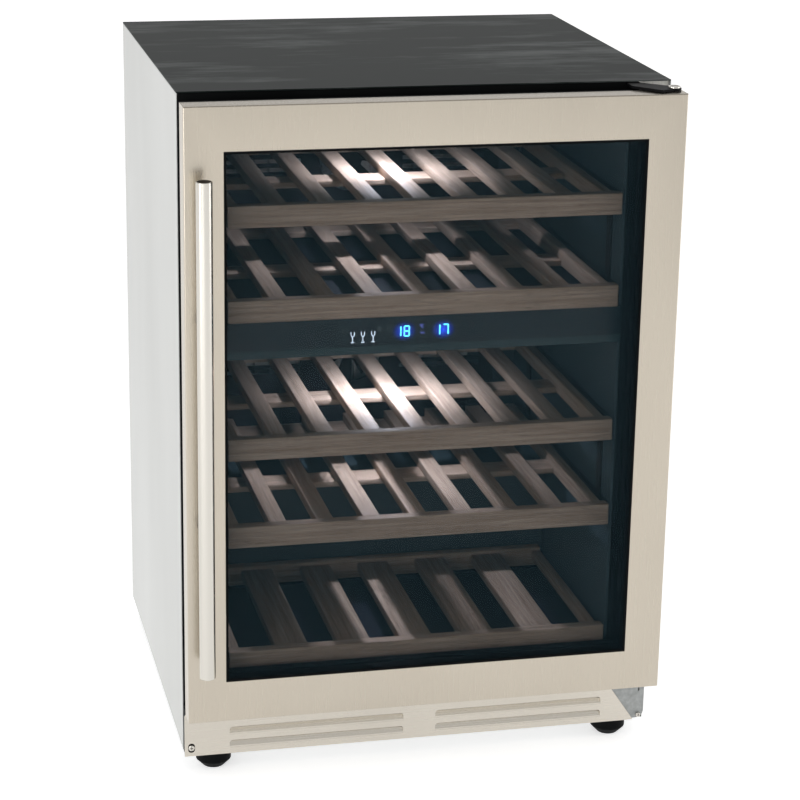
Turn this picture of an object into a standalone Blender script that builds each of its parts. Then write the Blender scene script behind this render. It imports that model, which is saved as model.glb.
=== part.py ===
"""Free-standing two-zone wine cooler, built as an assembly of separate pieces.

Metres, +Z up.  The origin is on the floor, under the middle of the whole object.
Pieces are drawn in the cabinet's own frame: x to the right, y the depth behind the door's
front face, z the height above the floor.  The empty `cabinet` carries that frame to its place.
"""
import math

import bmesh
import bpy
from mathutils import Matrix, Vector

# ---------------------------------------------------------------- driving dimensions
WIDTH = 0.595                 # the door, which is the widest piece
HEIGHT = 0.850                # floor to top cover
CASE_DEPTH = 0.570            # door face to back panel
HANDLE_REACH = 0.0425         # how far the bar stands in front of the door face
GAP = 0.0003                  # between pieces that touch

SHEET = 0.001                 # stainless steel skin and kick plate
CASE_HALF = 0.2965            # half-width over the painted side panels
CASE_SHEET = 0.0008
CASE_INNER = CASE_HALF - CASE_SHEET - GAP
CASE_FRONT = 0.061            # depth of the cabinet's front plane
FRAME_THICK = 0.003
CASE_BOTTOM = 0.028
COVER_UNDER = HEIGHT - 0.0015

DOOR_HALF = WIDTH / 2
DOOR_BOTTOM = 0.090
DOOR_TOP = 0.844
DOOR_SKIN_DEPTH = 0.0285      # the fold round the door; behind it the plastic frame shows
DOOR_BACK = 0.041
WINDOW_HALF = 0.2515
WINDOW_BOTTOM = 0.1415
WINDOW_TOP = 0.7917
PANE = 0.004

HINGE_X = 0.287
HINGE_Y = 0.022
HINGE_PIN_R = 0.004
HINGE_HOLE_R = 0.0044
HINGE_BITE = 0.012            # how far each pin reaches into the door

HANDLE_X = -0.279
HANDLE_R = 0.0095
HANDLE_Y = HANDLE_R - HANDLE_REACH
HANDLE_SPAN = (0.164, 0.766)
POST_R = 0.006
POST_HEIGHTS = {"upper": 0.595, "lower": 0.344}

LINER_HALF = 0.2445
LINER_WALL = 0.0015
LINER_MOUTH = CASE_FRONT + FRAME_THICK + 0.0005
LINER_FLOOR = 0.118
LINER_CEILING = 0.802
LINER_BACK = 0.522
STEP_FRONT = 0.352            # the liner steps in over the compressor
STEP_TOP = 0.275
OPENING_HALF = 0.2475
OPENING_BOTTOM = 0.124
BAY_FRONT = 0.392             # compressor bay
BAY_TOP = 0.235
DUCT_FLOOR = 0.070            # the foam's underside, over the air duct

SHELF_FRONT = 0.052
FASCIA = 0.015
FASCIA_HALF = 0.2395
RAIL_OUTER = 0.236
RAIL_INNER = 0.2235
RACK_BACK = 0.485
RACK_DROP = 0.004             # slats lie this far under the fascia's top
RACK_HEIGHT = 0.020
SLAT_THICK = 0.012
SLAT_WIDTH = 0.0215
SLAT_PITCH = 0.0584
WIDE_SLAT_WIDTH = 0.041
WIDE_SLAT_PITCH = 0.079
FRONT_BAR_BACK = 0.082
MIDDLE_BAR = (0.240, 0.278)
REAR_BAR_FRONT = 0.440
FASCIA_SPANS = {              # bottom and top of each sliding shelf's front board
    1: (0.6895, 0.7157),
    2: (0.5748, 0.6018),
    3: (0.4037, 0.4308),
    4: (0.2924, 0.3194),
}
BOTTOM_FASCIA = (0.1307, 0.1564)
BOTTOM_BOARD = (0.330, 0.345)

DIVIDER = (0.530, 0.572)
PANEL_SPAN = (0.5290, 0.5742)

FOOT_X = 0.257
FOOT_FRONT = 0.072
FOOT_REAR = 0.530
FOOT_R = 0.022
STUD_R = 0.005
STUD_TOP = 0.045

FAN_UPPER_Z = 0.672
FAN_LOWER_Z = 0.402
DUCT_FRONT = 0.4905
COOLING_FAN = (-0.160, 0.115)

# slot name: colour, metallic, roughness
SLOTS = {
    "brushed_steel": ((0.62, 0.58, 0.50), 1.0, 0.34),
    "polished_steel": ((0.80, 0.78, 0.74), 1.0, 0.16),
    "case_paint": ((0.60, 0.60, 0.58), 0.6, 0.38),
    "top_paint": ((0.09, 0.095, 0.092), 0.3, 0.42),
    "zinc_plate": ((0.30, 0.31, 0.31), 0.8, 0.45),
    "black_plastic": ((0.012, 0.012, 0.013), 0.0, 0.45),
    "black_gloss": ((0.008, 0.009, 0.011), 0.0, 0.12),
    "rubber": ((0.014, 0.014, 0.014), 0.0, 0.75),
    "tinted_glass": ((0.10, 0.14, 0.18), 0.0, 0.03),
    "beech": ((0.46, 0.33, 0.24), 0.0, 0.55),
    "liner_plastic": ((0.030, 0.040, 0.050), 0.0, 0.40),
    "foam": ((0.86, 0.84, 0.76), 0.0, 0.90),
    "lamp_lens": ((0.92, 0.94, 1.00), 0.0, 0.30),
    "aluminium": ((0.72, 0.73, 0.74), 1.0, 0.35),
    "copper": ((0.72, 0.36, 0.22), 1.0, 0.30),
    "compressor_paint": ((0.018, 0.018, 0.020), 0.2, 0.35),
    "board": ((0.02, 0.12, 0.06), 0.0, 0.50),
}


# ---------------------------------------------------------------- mesh helpers
def add_block(bm, x, y, z):
    """A box, with x, y and z given as (low, high)."""
    size = [high - low for low, high in (x, y, z)]
    middle = [(high + low) / 2 for low, high in (x, y, z)]
    matrix = Matrix.Translation(middle) @ Matrix.Diagonal((*size, 1.0))
    bmesh.ops.create_cube(bm, size=1.0, matrix=matrix)


def add_prism(bm, outline, axis, span):
    """A flat outline swept along one axis; its points are on the other two, in x, y, z order."""
    place = {
        "x": lambda a, b, s: (s, a, b),
        "y": lambda a, b, s: (a, s, b),
        "z": lambda a, b, s: (a, b, s),
    }[axis]
    near = [bm.verts.new(place(a, b, span[0])) for a, b in outline]
    far = [bm.verts.new(place(a, b, span[1])) for a, b in outline]
    bm.faces.new(near)
    bm.faces.new(far)
    for i in range(len(outline)):
        j = (i + 1) % len(outline)
        bm.faces.new((near[i], near[j], far[j], far[i]))


def add_turned(bm, profile, segments, centre=(0, 0, 0), axis="z", hollow=False):
    """A turned solid of (radius, height) points; a hollow one joins its last point to its first."""
    turn = {"z": Matrix.Identity(3), "y": Matrix.Rotation(math.radians(-90), 3, "X")}[axis]
    rings = []
    for radius, height in profile:
        ring = []
        for k in range(segments):
            angle = 2 * math.pi * k / segments
            point = Vector((radius * math.cos(angle), radius * math.sin(angle), height))
            ring.append(bm.verts.new(turn @ point + Vector(centre)))
        rings.append(ring)
    pairs = list(zip(rings, rings[1:]))
    if hollow:
        pairs.append((rings[-1], rings[0]))
    else:
        bm.faces.new(rings[0])
        bm.faces.new(rings[-1])
    for low, high in pairs:
        for k in range(segments):
            m = (k + 1) % segments
            bm.faces.new((low[k], low[m], high[m], high[k]))


def arc(centre, radius, start, end, steps):
    """Points on a circle from one angle to another, in degrees, both ends included."""
    points = []
    for k in range(steps + 1):
        angle = math.radians(start + (end - start) * k / steps)
        points.append((centre[0] + radius * math.cos(angle), centre[1] + radius * math.sin(angle)))
    return points


def rounded(x, z, radius, steps=4):
    """A rectangle's outline with round corners, from (low, high) pairs."""
    corners = ((x[1], z[1], 0), (x[0], z[1], 90), (x[0], z[0], 180), (x[1], z[0], 270))
    points = []
    for cx, cz, start in corners:
        inward_x = math.copysign(radius, cx - sum(x) / 2)
        inward_z = math.copysign(radius, cz - sum(z) / 2)
        points += arc((cx - inward_x, cz - inward_z), radius, start, start + 90, steps)
    return points


# ---------------------------------------------------------------- object helpers
def clear_scene():
    for obj in list(bpy.data.objects):
        bpy.data.objects.remove(obj)


def material(slot):
    found = bpy.data.materials.get(slot)
    if found:
        return found
    colour, metallic, roughness = SLOTS[slot]
    made = bpy.data.materials.new(slot)
    made.use_nodes = True
    shader = made.node_tree.nodes["Principled BSDF"]
    shader.inputs["Base Color"].default_value = (*colour, 1.0)
    shader.inputs["Metallic"].default_value = metallic
    shader.inputs["Roughness"].default_value = roughness
    return made


def empty(name, location, parent=None):
    obj = bpy.data.objects.new(name, None)
    bpy.context.collection.objects.link(obj)
    obj.parent = parent
    obj.location = location
    return obj


def mesh_object(name, bm):
    bmesh.ops.recalc_face_normals(bm, faces=bm.faces)
    mesh = bpy.data.meshes.new(name)
    bm.to_mesh(mesh)
    bm.free()
    obj = bpy.data.objects.new(name, mesh)
    bpy.context.collection.objects.link(obj)
    return obj


def boolean(obj, bm, operation):
    """Cut or join a tool shape, and keep the resulting mesh."""
    tool = mesh_object("tool", bm)
    change = obj.modifiers.new("change", "BOOLEAN")
    change.operation = operation
    change.solver = "EXACT"
    change.object = tool
    depsgraph = bpy.context.evaluated_depsgraph_get()
    result = bpy.data.meshes.new_from_object(obj.evaluated_get(depsgraph))
    obj.modifiers.clear()
    obj.data = result
    bpy.data.objects.remove(tool)


def cut(obj, bm):
    boolean(obj, bm, "DIFFERENCE")


def fuse(obj, bm):
    boolean(obj, bm, "UNION")


def seat(obj, slot, mover=None, smooth=False):
    """Give a piece its material and hang it, unmoved, under the cabinet or a moving empty."""
    obj.data.materials.clear()
    obj.data.materials.append(material(slot))
    obj.parent = mover or CABINET
    if mover:
        obj.location = -mover.location
    if smooth:
        obj.data.shade_smooth()
        obj.data.set_sharp_from_angle(angle=math.radians(35))
    return obj


def block(name, x, y, z, slot, mover=None, bevel=0.0):
    """A single box-shaped piece, with an optional small bevel on its edges."""
    bm = bmesh.new()
    add_block(bm, x, y, z)
    obj = mesh_object(name, bm)
    if bevel:
        edge = obj.modifiers.new("edge", "BEVEL")
        edge.width = bevel
        edge.segments = 2
        edge.limit_method = "NONE"
    return seat(obj, slot, mover)


def both(half):
    return (-half, half)


def ring(name, outer_half, outer_z, inner_half, inner_z, depth):
    """A rectangular frame lying in the door's plane."""
    bm = bmesh.new()
    add_block(bm, both(outer_half), depth, outer_z)
    obj = mesh_object(name, bm)
    hole = bmesh.new()
    add_block(hole, both(inner_half), (depth[0] - 0.01, depth[1] + 0.01), inner_z)
    cut(obj, hole)
    return obj


def pin_holes(span_bottom, span_top):
    """The two holes in the door that the hinge pins turn in."""
    bm = bmesh.new()
    for low, high in (span_bottom, span_top):
        profile = ((HINGE_HOLE_R, low), (HINGE_HOLE_R, high))
        add_turned(bm, profile, 20, (HINGE_X, HINGE_Y, 0))
    return bm


# ---------------------------------------------------------------- cabinet shell
def side_panels():
    inner = CASE_HALF - CASE_SHEET
    span = (CASE_BOTTOM, COVER_UNDER - GAP)
    depth = (CASE_FRONT, CASE_DEPTH)
    block("side_panel_left", (-CASE_HALF, -inner), depth, span, "case_paint")
    block("side_panel_right", (inner, CASE_HALF), depth, span, "case_paint")


def top_cover():
    depth = (CASE_FRONT, CASE_DEPTH)
    block("top_cover", both(CASE_HALF), depth, (COVER_UNDER, HEIGHT), "top_paint", bevel=0.0003)


PAN_SHEET = 0.0015
PAN_TOP = CASE_BOTTOM + PAN_SHEET
BACK_SHEET = 0.001
INLET_X = (0.2265, 0.2535)
INLET_Z = (0.060, 0.082)
INLET_DEPTH = 0.025
VENT_COLUMNS = (-0.225, -0.105, 0.015)
VENT_ROWS = 9
VENT_FIRST = 0.050
VENT_PITCH = 0.018
VENT_SIZE = (0.095, 0.005)


def back_panel():
    bm = bmesh.new()
    span = (PAN_TOP + GAP, COVER_UNDER - GAP)
    add_block(bm, both(CASE_INNER), (CASE_DEPTH - BACK_SHEET, CASE_DEPTH), span)
    obj = mesh_object("back_panel", bm)
    openings = bmesh.new()
    through = (CASE_DEPTH - 0.01, CASE_DEPTH + 0.01)
    long, tall = VENT_SIZE
    for column in VENT_COLUMNS:
        for row in range(VENT_ROWS):
            low = VENT_FIRST + row * VENT_PITCH
            add_block(openings, (column, column + long), through, (low, low + tall))
    inlet_x = (INLET_X[0] - GAP, INLET_X[1] + GAP)
    inlet_z = (INLET_Z[0] - GAP, INLET_Z[1] + GAP)
    add_block(openings, inlet_x, through, inlet_z)
    cut(obj, openings)
    seat(obj, "case_paint")


def base_pan():
    """The bottom sheet with turned-up sides, which carries the feet and the compressor."""
    bm = bmesh.new()
    lip = 0.0012
    wall = 0.012
    outline = (
        (-CASE_INNER, CASE_BOTTOM),
        (CASE_INNER, CASE_BOTTOM),
        (CASE_INNER, PAN_TOP + wall),
        (CASE_INNER - lip, PAN_TOP + wall),
        (CASE_INNER - lip, PAN_TOP),
        (-CASE_INNER + lip, PAN_TOP),
        (-CASE_INNER + lip, PAN_TOP + wall),
        (-CASE_INNER, PAN_TOP + wall),
    )
    add_prism(bm, outline, "y", (LINER_MOUTH, CASE_DEPTH - BACK_SHEET - GAP))
    obj = mesh_object("base_pan", bm)
    holes = bmesh.new()
    profile = ((STUD_R + GAP, CASE_BOTTOM - PAN_SHEET), (STUD_R + GAP, PAN_TOP + PAN_SHEET))
    for x in both(FOOT_X):
        for y in (FOOT_FRONT, FOOT_REAR):
            add_turned(holes, profile, 16, (x, y, 0))
    cut(obj, holes)
    seat(obj, "zinc_plate")


PIPE_X = 0.135
PIPE_Y = 0.546
PIPE_BRANCHES = (0.420, 0.664)
GROOVE_HALF = 0.006
GROOVE_SPAN = (0.200, 0.680)
PORT_HALF = 0.005


def insulation_foam():
    """Foam round the liner, stepped up over the compressor bay and grooved for the pipe."""
    front = LINER_MOUTH + LINER_WALL + GAP
    back = CASE_DEPTH - BACK_SHEET - GAP
    top = COVER_UNDER - GAP
    outline = (
        (front, DUCT_FLOOR),
        (BAY_FRONT, DUCT_FLOOR),
        (BAY_FRONT, BAY_TOP),
        (back, BAY_TOP),
        (back, top),
        (front, top),
    )
    bm = bmesh.new()
    add_prism(bm, outline, "x", both(CASE_INNER))
    obj = mesh_object("insulation_foam", bm)
    hollow = bmesh.new()
    grow = LINER_WALL + GAP
    add_prism(hollow, liner_profile(grow, 0.02), "x", both(LINER_HALF + grow))
    cut(obj, hollow)
    groove = bmesh.new()
    half = GROOVE_HALF
    add_block(groove, (PIPE_X - half, PIPE_X + half), (PIPE_Y - half, CASE_DEPTH), GROOVE_SPAN)
    cut(obj, groove)
    branches = bmesh.new()
    x = (PIPE_X - PORT_HALF - 0.0005, PIPE_X + PORT_HALF + 0.0005)
    for z in PIPE_BRANCHES:
        add_block(branches, x, (LINER_BACK - 0.01, PIPE_Y), (z - half, z + half))
    cut(obj, branches)
    pocket = bmesh.new()
    room = 0.001
    x = (ARM_LEFT - room, ARM_INNER + room)
    add_block(pocket, x, (CASE_FRONT, ARM_TAIL + room), (ARM_UNDER - GAP, HEIGHT))
    cut(obj, pocket)
    seat(obj, "foam")


def liner_profile(grow, lead):
    """The liner's side outline, grown outwards, with its open mouth led forwards."""
    mouth = LINER_MOUTH - lead
    return (
        (mouth, LINER_FLOOR - grow),
        (STEP_FRONT + grow, LINER_FLOOR - grow),
        (STEP_FRONT + grow, STEP_TOP - grow),
        (LINER_BACK + grow, STEP_TOP - grow),
        (LINER_BACK + grow, LINER_CEILING + grow),
        (mouth, LINER_CEILING + grow),
    )


def inner_liner():
    """The moulded tub with a flange round its mouth and a step over the compressor."""
    bm = bmesh.new()
    add_prism(bm, liner_profile(LINER_WALL, 0.0), "x", both(LINER_HALF + LINER_WALL))
    obj = mesh_object("inner_liner", bm)
    flange = bmesh.new()
    reach = 0.022
    span = (LINER_FLOOR - reach, LINER_CEILING + reach)
    add_block(flange, both(LINER_HALF + reach), (LINER_MOUTH - 0.0001, LINER_MOUTH + LINER_WALL), span)
    fuse(obj, flange)
    hollow = bmesh.new()
    add_prism(hollow, liner_profile(0.0, 0.02), "x", both(LINER_HALF))
    cut(obj, hollow)
    ports = bmesh.new()
    x = (PIPE_X - PORT_HALF, PIPE_X + PORT_HALF)
    for z in PIPE_BRANCHES:
        add_block(ports, x, (LINER_BACK - 0.01, LINER_BACK + 0.01), (z - PORT_HALF, z + PORT_HALF))
    cut(obj, ports)
    seat(obj, "liner_plastic")


LEG_INNER = 0.278
LEG_FRONT = (0.0475, 0.0498)  # left and right: the right one starts behind the hinge bracket
LEG_SPAN = (0.0255, 0.086)
RAIL_BOTTOM = 0.102           # the underside of the frame's lowest rail
NOTCH_BOTTOM = 0.836          # the step in the frame's corner, under the hinge arm


def front_frame():
    """The black frame the gasket seals on, with two legs behind the kick plate."""
    front = CASE_FRONT
    back = CASE_FRONT + FRAME_THICK
    outer_z = (RAIL_BOTTOM, COVER_UNDER - 0.0005)
    opening_z = (OPENING_BOTTOM, LINER_CEILING)
    obj = ring("front_frame", CASE_INNER, outer_z, OPENING_HALF, opening_z, (front, back))
    legs = bmesh.new()
    add_block(legs, (-CASE_INNER, -LEG_INNER), (LEG_FRONT[0], back), LEG_SPAN)
    add_block(legs, (LEG_INNER, CASE_INNER), (LEG_FRONT[1], back), LEG_SPAN)
    fuse(obj, legs)
    stems = bmesh.new()
    for x in ((-CASE_INNER, -LEG_INNER - 0.001), (LEG_INNER + 0.001, CASE_INNER)):
        add_block(stems, x, (front, back - 0.0002), (LEG_SPAN[1] - 0.010, RAIL_BOTTOM + 0.008))
    fuse(obj, stems)
    through = (front - 0.01, back + 0.005)
    notch = bmesh.new()
    add_block(notch, (ARM_LEFT - 0.0006, CASE_HALF), through, (ARM_UNDER - GAP, HEIGHT))
    cut(obj, notch)
    corner = bmesh.new()
    add_block(corner, (ARM_INNER, CASE_HALF), through, (NOTCH_BOTTOM, HEIGHT))
    cut(obj, corner)
    holes = bmesh.new()
    profile = ((SCREW_HOLE_R, LEG_FRONT[0] - 0.01), (SCREW_HOLE_R, SCREW_END + GAP))
    for x, z in (KICK_SCREW, BRACKET_SCREW):
        add_turned(holes, profile, 12, (x, 0, z), axis="y")
    cut(obj, holes)
    seat(obj, "black_plastic")


# ---------------------------------------------------------------- kick plate and hinges
KICK_FACE = 0.046
KICK_SPAN = (0.0245, 0.083)
KICK_RIGHT = (0.2825, 0.2428) # its right end, at the bottom and at the top
LOUVRE_COLUMNS = ((-0.2405, -0.0203), (0.0210, 0.2380))
LOUVRE_ROWS = ((0.0325, 0.0420), (0.0500, 0.0600))
LOUVRE_REACH = 0.006
KICK_SCREW = (-0.288, 0.0355)
KICK_SCREW_HEAD = 0.004
BRACKET_SCREW = (0.2895, 0.0305)
BRACKET_SCREW_HEAD = 0.0034
SCREW_R = 0.002
SCREW_HOLE_R = 0.0024
SCREW_END = 0.0612


def kick_plate():
    """The stainless plinth sheet with pressed-in louvres and a slanted right end."""
    back = KICK_FACE + SHEET
    low, high = KICK_SPAN
    corner = 0.005
    outline = (
        (-CASE_HALF, low),
        (KICK_RIGHT[0], low),
        (KICK_RIGHT[1], high),
        (-CASE_HALF + corner / 2, high),
        (-CASE_HALF, high - corner),
    )
    bm = bmesh.new()
    add_prism(bm, outline, "y", (KICK_FACE, back))
    obj = mesh_object("kick_plate", bm)
    slots = bmesh.new()
    outer = bmesh.new()
    inner = bmesh.new()
    wall = 0.0008
    radius = 0.004
    toe = 0.0015
    lift = 0.0012
    through = (KICK_FACE - 0.001, back + 0.001)
    lip = KICK_FACE + 0.0002
    for x in LOUVRE_COLUMNS:
        for z in LOUVRE_ROWS:
            mouth = [(x[0], z[0]), (x[1], z[0])]
            mouth += arc((x[1] - radius, z[1] - radius), radius, 0, 90, 4)
            mouth += arc((x[0] + radius, z[1] - radius), radius, 90, 180, 4)
            add_prism(slots, mouth, "y", through)
            scoop = ((lip, z[0] - toe), (back + LOUVRE_REACH, z[1]), (lip, z[1]))
            add_prism(outer, scoop, "x", (x[0] - wall, x[1] + wall))
            lifted = [(depth - lift, height + lift) for depth, height in scoop]
            add_prism(inner, lifted, "x", (x[0] + 0.0001, x[1] - 0.0001))
    cut(obj, slots)
    scoops = mesh_object("scoops", outer)
    cut(scoops, inner)
    shells = bmesh.new()
    shells.from_mesh(scoops.data)
    bpy.data.objects.remove(scoops)
    fuse(obj, shells)
    hole = bmesh.new()
    x, z = KICK_SCREW
    half = KICK_SCREW_HEAD + 0.0002
    tall = 0.00615
    add_prism(hole, rounded((x - half, x + half), (z - tall, z + tall), KICK_SCREW_HEAD), "y", through)
    cut(obj, hole)
    seat(obj, "brushed_steel")


def cross_screw(name, place, head_r):
    """A pan-head screw driven along +Y, with a cross recess."""
    x, z = place
    head_back = BRACKET_FACE - GAP
    head = 0.0025
    point = 0.0012
    profile = (
        (head_r * 0.65, head_back - head),
        (head_r * 0.95, head_back - head * 0.6),
        (head_r, head_back),
        (SCREW_R, head_back),
        (SCREW_R, SCREW_END - point),
        (SCREW_R - point, SCREW_END),
    )
    bm = bmesh.new()
    add_turned(bm, profile, 16, (x, 0, z), axis="y")
    obj = mesh_object(name, bm)
    arm = head_r * 0.475
    half = 0.00045
    deep = (head_back - head - 0.001, head_back - head + 0.0014)
    for wide, tall in ((arm, half), (half, arm)):
        recess = bmesh.new()
        add_block(recess, (x - wide, x + wide), deep, (z - tall, z + tall))
        cut(obj, recess)
    seat(obj, "polished_steel", smooth=True)


BRACKET_FACE = 0.0475
BRACKET_THICK = 0.002
BRACKET_LEFT = 0.245
BRACKET_BOTTOM = 0.026
BRACKET_CORNER = 0.010
BRACKET_SLIT = ((0.2887, 0.2903), (0.063, 0.084))
LEAF = (0.0876, 0.0896)
LEAF_LEFT = 0.262
LEAF_FRONT = 0.034            # depth where the leaf's straight side ends


def lower_hinge_bracket():
    """A zinc-plated angle: a plate behind the kick plate and a leaf under the door."""
    right = CASE_HALF
    low = BRACKET_BOTTOM
    corner = BRACKET_CORNER
    outline = [(BRACKET_LEFT, LEAF[1]), (BRACKET_LEFT, low + 0.036), (KICK_RIGHT[0] - 0.005, low)]
    outline += arc((right - corner, low + corner), corner, -90, 0, 4)
    outline += [(right, LEAF[1])]
    bm = bmesh.new()
    back = BRACKET_FACE + BRACKET_THICK
    add_prism(bm, outline, "y", (BRACKET_FACE, back))
    obj = mesh_object("lower_hinge_bracket", bm)
    leaf = bmesh.new()
    overlap = BRACKET_FACE + BRACKET_THICK / 2
    plan = [(LEAF_LEFT, overlap), (LEAF_LEFT, LEAF_FRONT)]
    plan += arc((HINGE_X, HINGE_Y), right - HINGE_X, 215, 360, 8)
    plan += [(right, overlap)]
    add_prism(leaf, plan, "z", (LEAF[0], LEAF[1] - 0.0001))
    fuse(obj, leaf)
    holes = bmesh.new()
    through = (BRACKET_FACE - 0.01, back + 0.01)
    pin = ((HINGE_HOLE_R, LEAF[0] - 0.005), (HINGE_HOLE_R, LEAF[1] + 0.005))
    add_turned(holes, pin, 20, (HINGE_X, HINGE_Y, 0))
    screw = ((SCREW_HOLE_R, through[0]), (SCREW_HOLE_R, through[1]))
    add_turned(holes, screw, 12, (BRACKET_SCREW[0], 0, BRACKET_SCREW[1]), axis="y")
    add_block(holes, BRACKET_SLIT[0], through, BRACKET_SLIT[1])
    cut(obj, holes)
    seat(obj, "zinc_plate")


def hinge_pins():
    """Each pin has a head outside its plate and a shank in the door's hole."""
    shank = HINGE_PIN_R
    chamfer = 0.001
    head = LEAF[0] - GAP
    end = DOOR_BOTTOM + HINGE_BITE
    lower = (
        (0.0065, head - 0.0028),
        (0.0070, head - 0.0023),
        (0.0070, head),
        (shank, head),
        (shank, end - chamfer),
        (shank - chamfer, end),
    )
    bm = bmesh.new()
    add_turned(bm, lower, 24, (HINGE_X, HINGE_Y, 0))
    seat(mesh_object("lower_hinge_pin", bm), "zinc_plate", smooth=True)
    head = ARM_TOP + GAP
    top = HEIGHT - 0.0001
    end = DOOR_TOP - HINGE_BITE
    upper = (
        (shank - chamfer, end),
        (shank, end + chamfer),
        (shank, head),
        (0.0073, head),
        (0.0073, top - 0.0005),
        (0.0068, top),
        (0.0048, top),
        (0.0044, top - 0.0011),
    )
    bm = bmesh.new()
    add_turned(bm, upper, 24, (HINGE_X, HINGE_Y, 0))
    seat(mesh_object("upper_hinge_pin", bm), "polished_steel", smooth=True)


ARM_UNDER = 0.8446
ARM_TOP = 0.8476
ARM_LEFT = 0.241
ARM_INNER = 0.257
ARM_TAIL = 0.110
ARM_BEND = 0.059              # depth where its right side turns towards the pin
ARM_ELBOW = 0.040             # depth where its left side does
ARM_NOSE = (0.268, 0.0075)


def upper_hinge_bracket():
    """A flat black arm from under the top cover, slanting forward to the pin."""
    radius = CASE_HALF - 0.001 - HINGE_X
    outline = [(ARM_INNER, ARM_BEND), (ARM_INNER, ARM_TAIL), (ARM_LEFT, ARM_TAIL), (ARM_LEFT, ARM_ELBOW)]
    outline += [ARM_NOSE]
    outline += arc((HINGE_X, HINGE_Y), radius, 250, 410, 10)
    bm = bmesh.new()
    add_prism(bm, outline, "z", (ARM_UNDER, ARM_TOP))
    obj = mesh_object("upper_hinge_bracket", bm)
    hole = bmesh.new()
    pin = ((HINGE_HOLE_R, ARM_UNDER - 0.005), (HINGE_HOLE_R, ARM_TOP + 0.005))
    add_turned(hole, pin, 20, (HINGE_X, HINGE_Y, 0))
    cut(obj, hole)
    seat(obj, "black_plastic")


# ---------------------------------------------------------------- door
def door_skin(mover):
    """The folded stainless front: face, four returned edges and the window."""
    bm = bmesh.new()
    add_block(bm, both(DOOR_HALF), (0.0, DOOR_SKIN_DEPTH), (DOOR_BOTTOM, DOOR_TOP))
    front = [edge for edge in bm.edges if all(vert.co.y < 1e-6 for vert in edge.verts)]
    bmesh.ops.bevel(bm, geom=front, offset=0.0014, segments=3, profile=0.5, affect="EDGES")
    obj = mesh_object("door_skin", bm)
    inside = bmesh.new()
    z = (DOOR_BOTTOM + SHEET, DOOR_TOP - SHEET)
    add_block(inside, both(DOOR_HALF - SHEET), (SHEET, DOOR_SKIN_DEPTH + 0.01), z)
    cut(obj, inside)
    window = bmesh.new()
    add_block(window, both(WINDOW_HALF), (-0.01, 0.01), (WINDOW_BOTTOM, WINDOW_TOP))
    cut(obj, window)
    cut(obj, pin_holes((DOOR_BOTTOM - 0.001, DOOR_BOTTOM + 0.003), (DOOR_TOP - 0.003, DOOR_TOP + 0.001)))
    seat(obj, "brushed_steel", mover)


PANE_EDGE = 0.011             # how far the outer pane runs under the skin
PANE_FRONT = SHEET + GAP
SPACER_FRONT = PANE_FRONT + PANE + GAP
SPACER_DEPTH = 0.018
INNER_PANE_FRONT = SPACER_FRONT + SPACER_DEPTH + GAP
LIP_FRONT = INNER_PANE_FRONT + PANE + GAP
SEAL_HALF = 0.279
SEAL_SPAN = (0.103, 0.826)


def door_inner_frame(mover):
    """The deep plastic frame inside the skin, with a lip behind the inner pane."""
    half = DOOR_HALF - SHEET - GAP
    z = (DOOR_BOTTOM + SHEET + GAP, DOOR_TOP - SHEET - GAP)
    edge = PANE_EDGE + GAP
    pocket_z = (WINDOW_BOTTOM - edge, WINDOW_TOP + edge)
    obj = ring("door_inner_frame", half, z, WINDOW_HALF, (WINDOW_BOTTOM, WINDOW_TOP), (PANE_FRONT, DOOR_BACK))
    pocket = bmesh.new()
    add_block(pocket, both(WINDOW_HALF + edge), (-0.01, LIP_FRONT), pocket_z)
    cut(obj, pocket)
    depth = HINGE_BITE + 0.0008
    cut(obj, pin_holes((DOOR_BOTTOM - depth, DOOR_BOTTOM + depth), (DOOR_TOP - depth, DOOR_TOP + depth)))
    seat(obj, "black_plastic", mover)


def glazing(mover):
    """Two panes held apart by a black spacer."""
    edge = PANE_EDGE
    outer_z = (WINDOW_BOTTOM - edge, WINDOW_TOP + edge)
    outer_depth = (PANE_FRONT, PANE_FRONT + PANE)
    block("outer_glass", both(WINDOW_HALF + edge), outer_depth, outer_z, "tinted_glass", mover)
    bar = 0.008
    spacer_z = (WINDOW_BOTTOM - bar, WINDOW_TOP + bar)
    depth = (SPACER_FRONT, SPACER_FRONT + SPACER_DEPTH)
    window_z = (WINDOW_BOTTOM, WINDOW_TOP)
    obj = ring("glass_spacer", WINDOW_HALF + bar, spacer_z, WINDOW_HALF, window_z, depth)
    seat(obj, "black_plastic", mover)
    inner_depth = (INNER_PANE_FRONT, INNER_PANE_FRONT + PANE)
    block("inner_glass", both(WINDOW_HALF + bar), inner_depth, spacer_z, "tinted_glass", mover)


def door_gasket(mover):
    """A magnetic seal: a wide foot on the door and a narrower bulb against the cabinet."""
    foot = (DOOR_BACK + GAP, DOOR_BACK + 0.0065)
    bulb = (DOOR_BACK + 0.006, CASE_FRONT - 0.0005)
    low, high = SEAL_SPAN
    wide = 0.020
    obj = ring("door_gasket", SEAL_HALF, SEAL_SPAN, SEAL_HALF - wide, (low + wide, high - wide), foot)
    out = 0.0015
    deep = 0.017
    bulb_z = (low + out, high - out)
    inner_z = (low + deep, high - deep)
    tip = ring("tip", SEAL_HALF - out, bulb_z, SEAL_HALF - deep, inner_z, bulb)
    bm = bmesh.new()
    bm.from_mesh(tip.data)
    bpy.data.objects.remove(tip)
    fuse(obj, bm)
    seat(obj, "rubber", mover)


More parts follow.
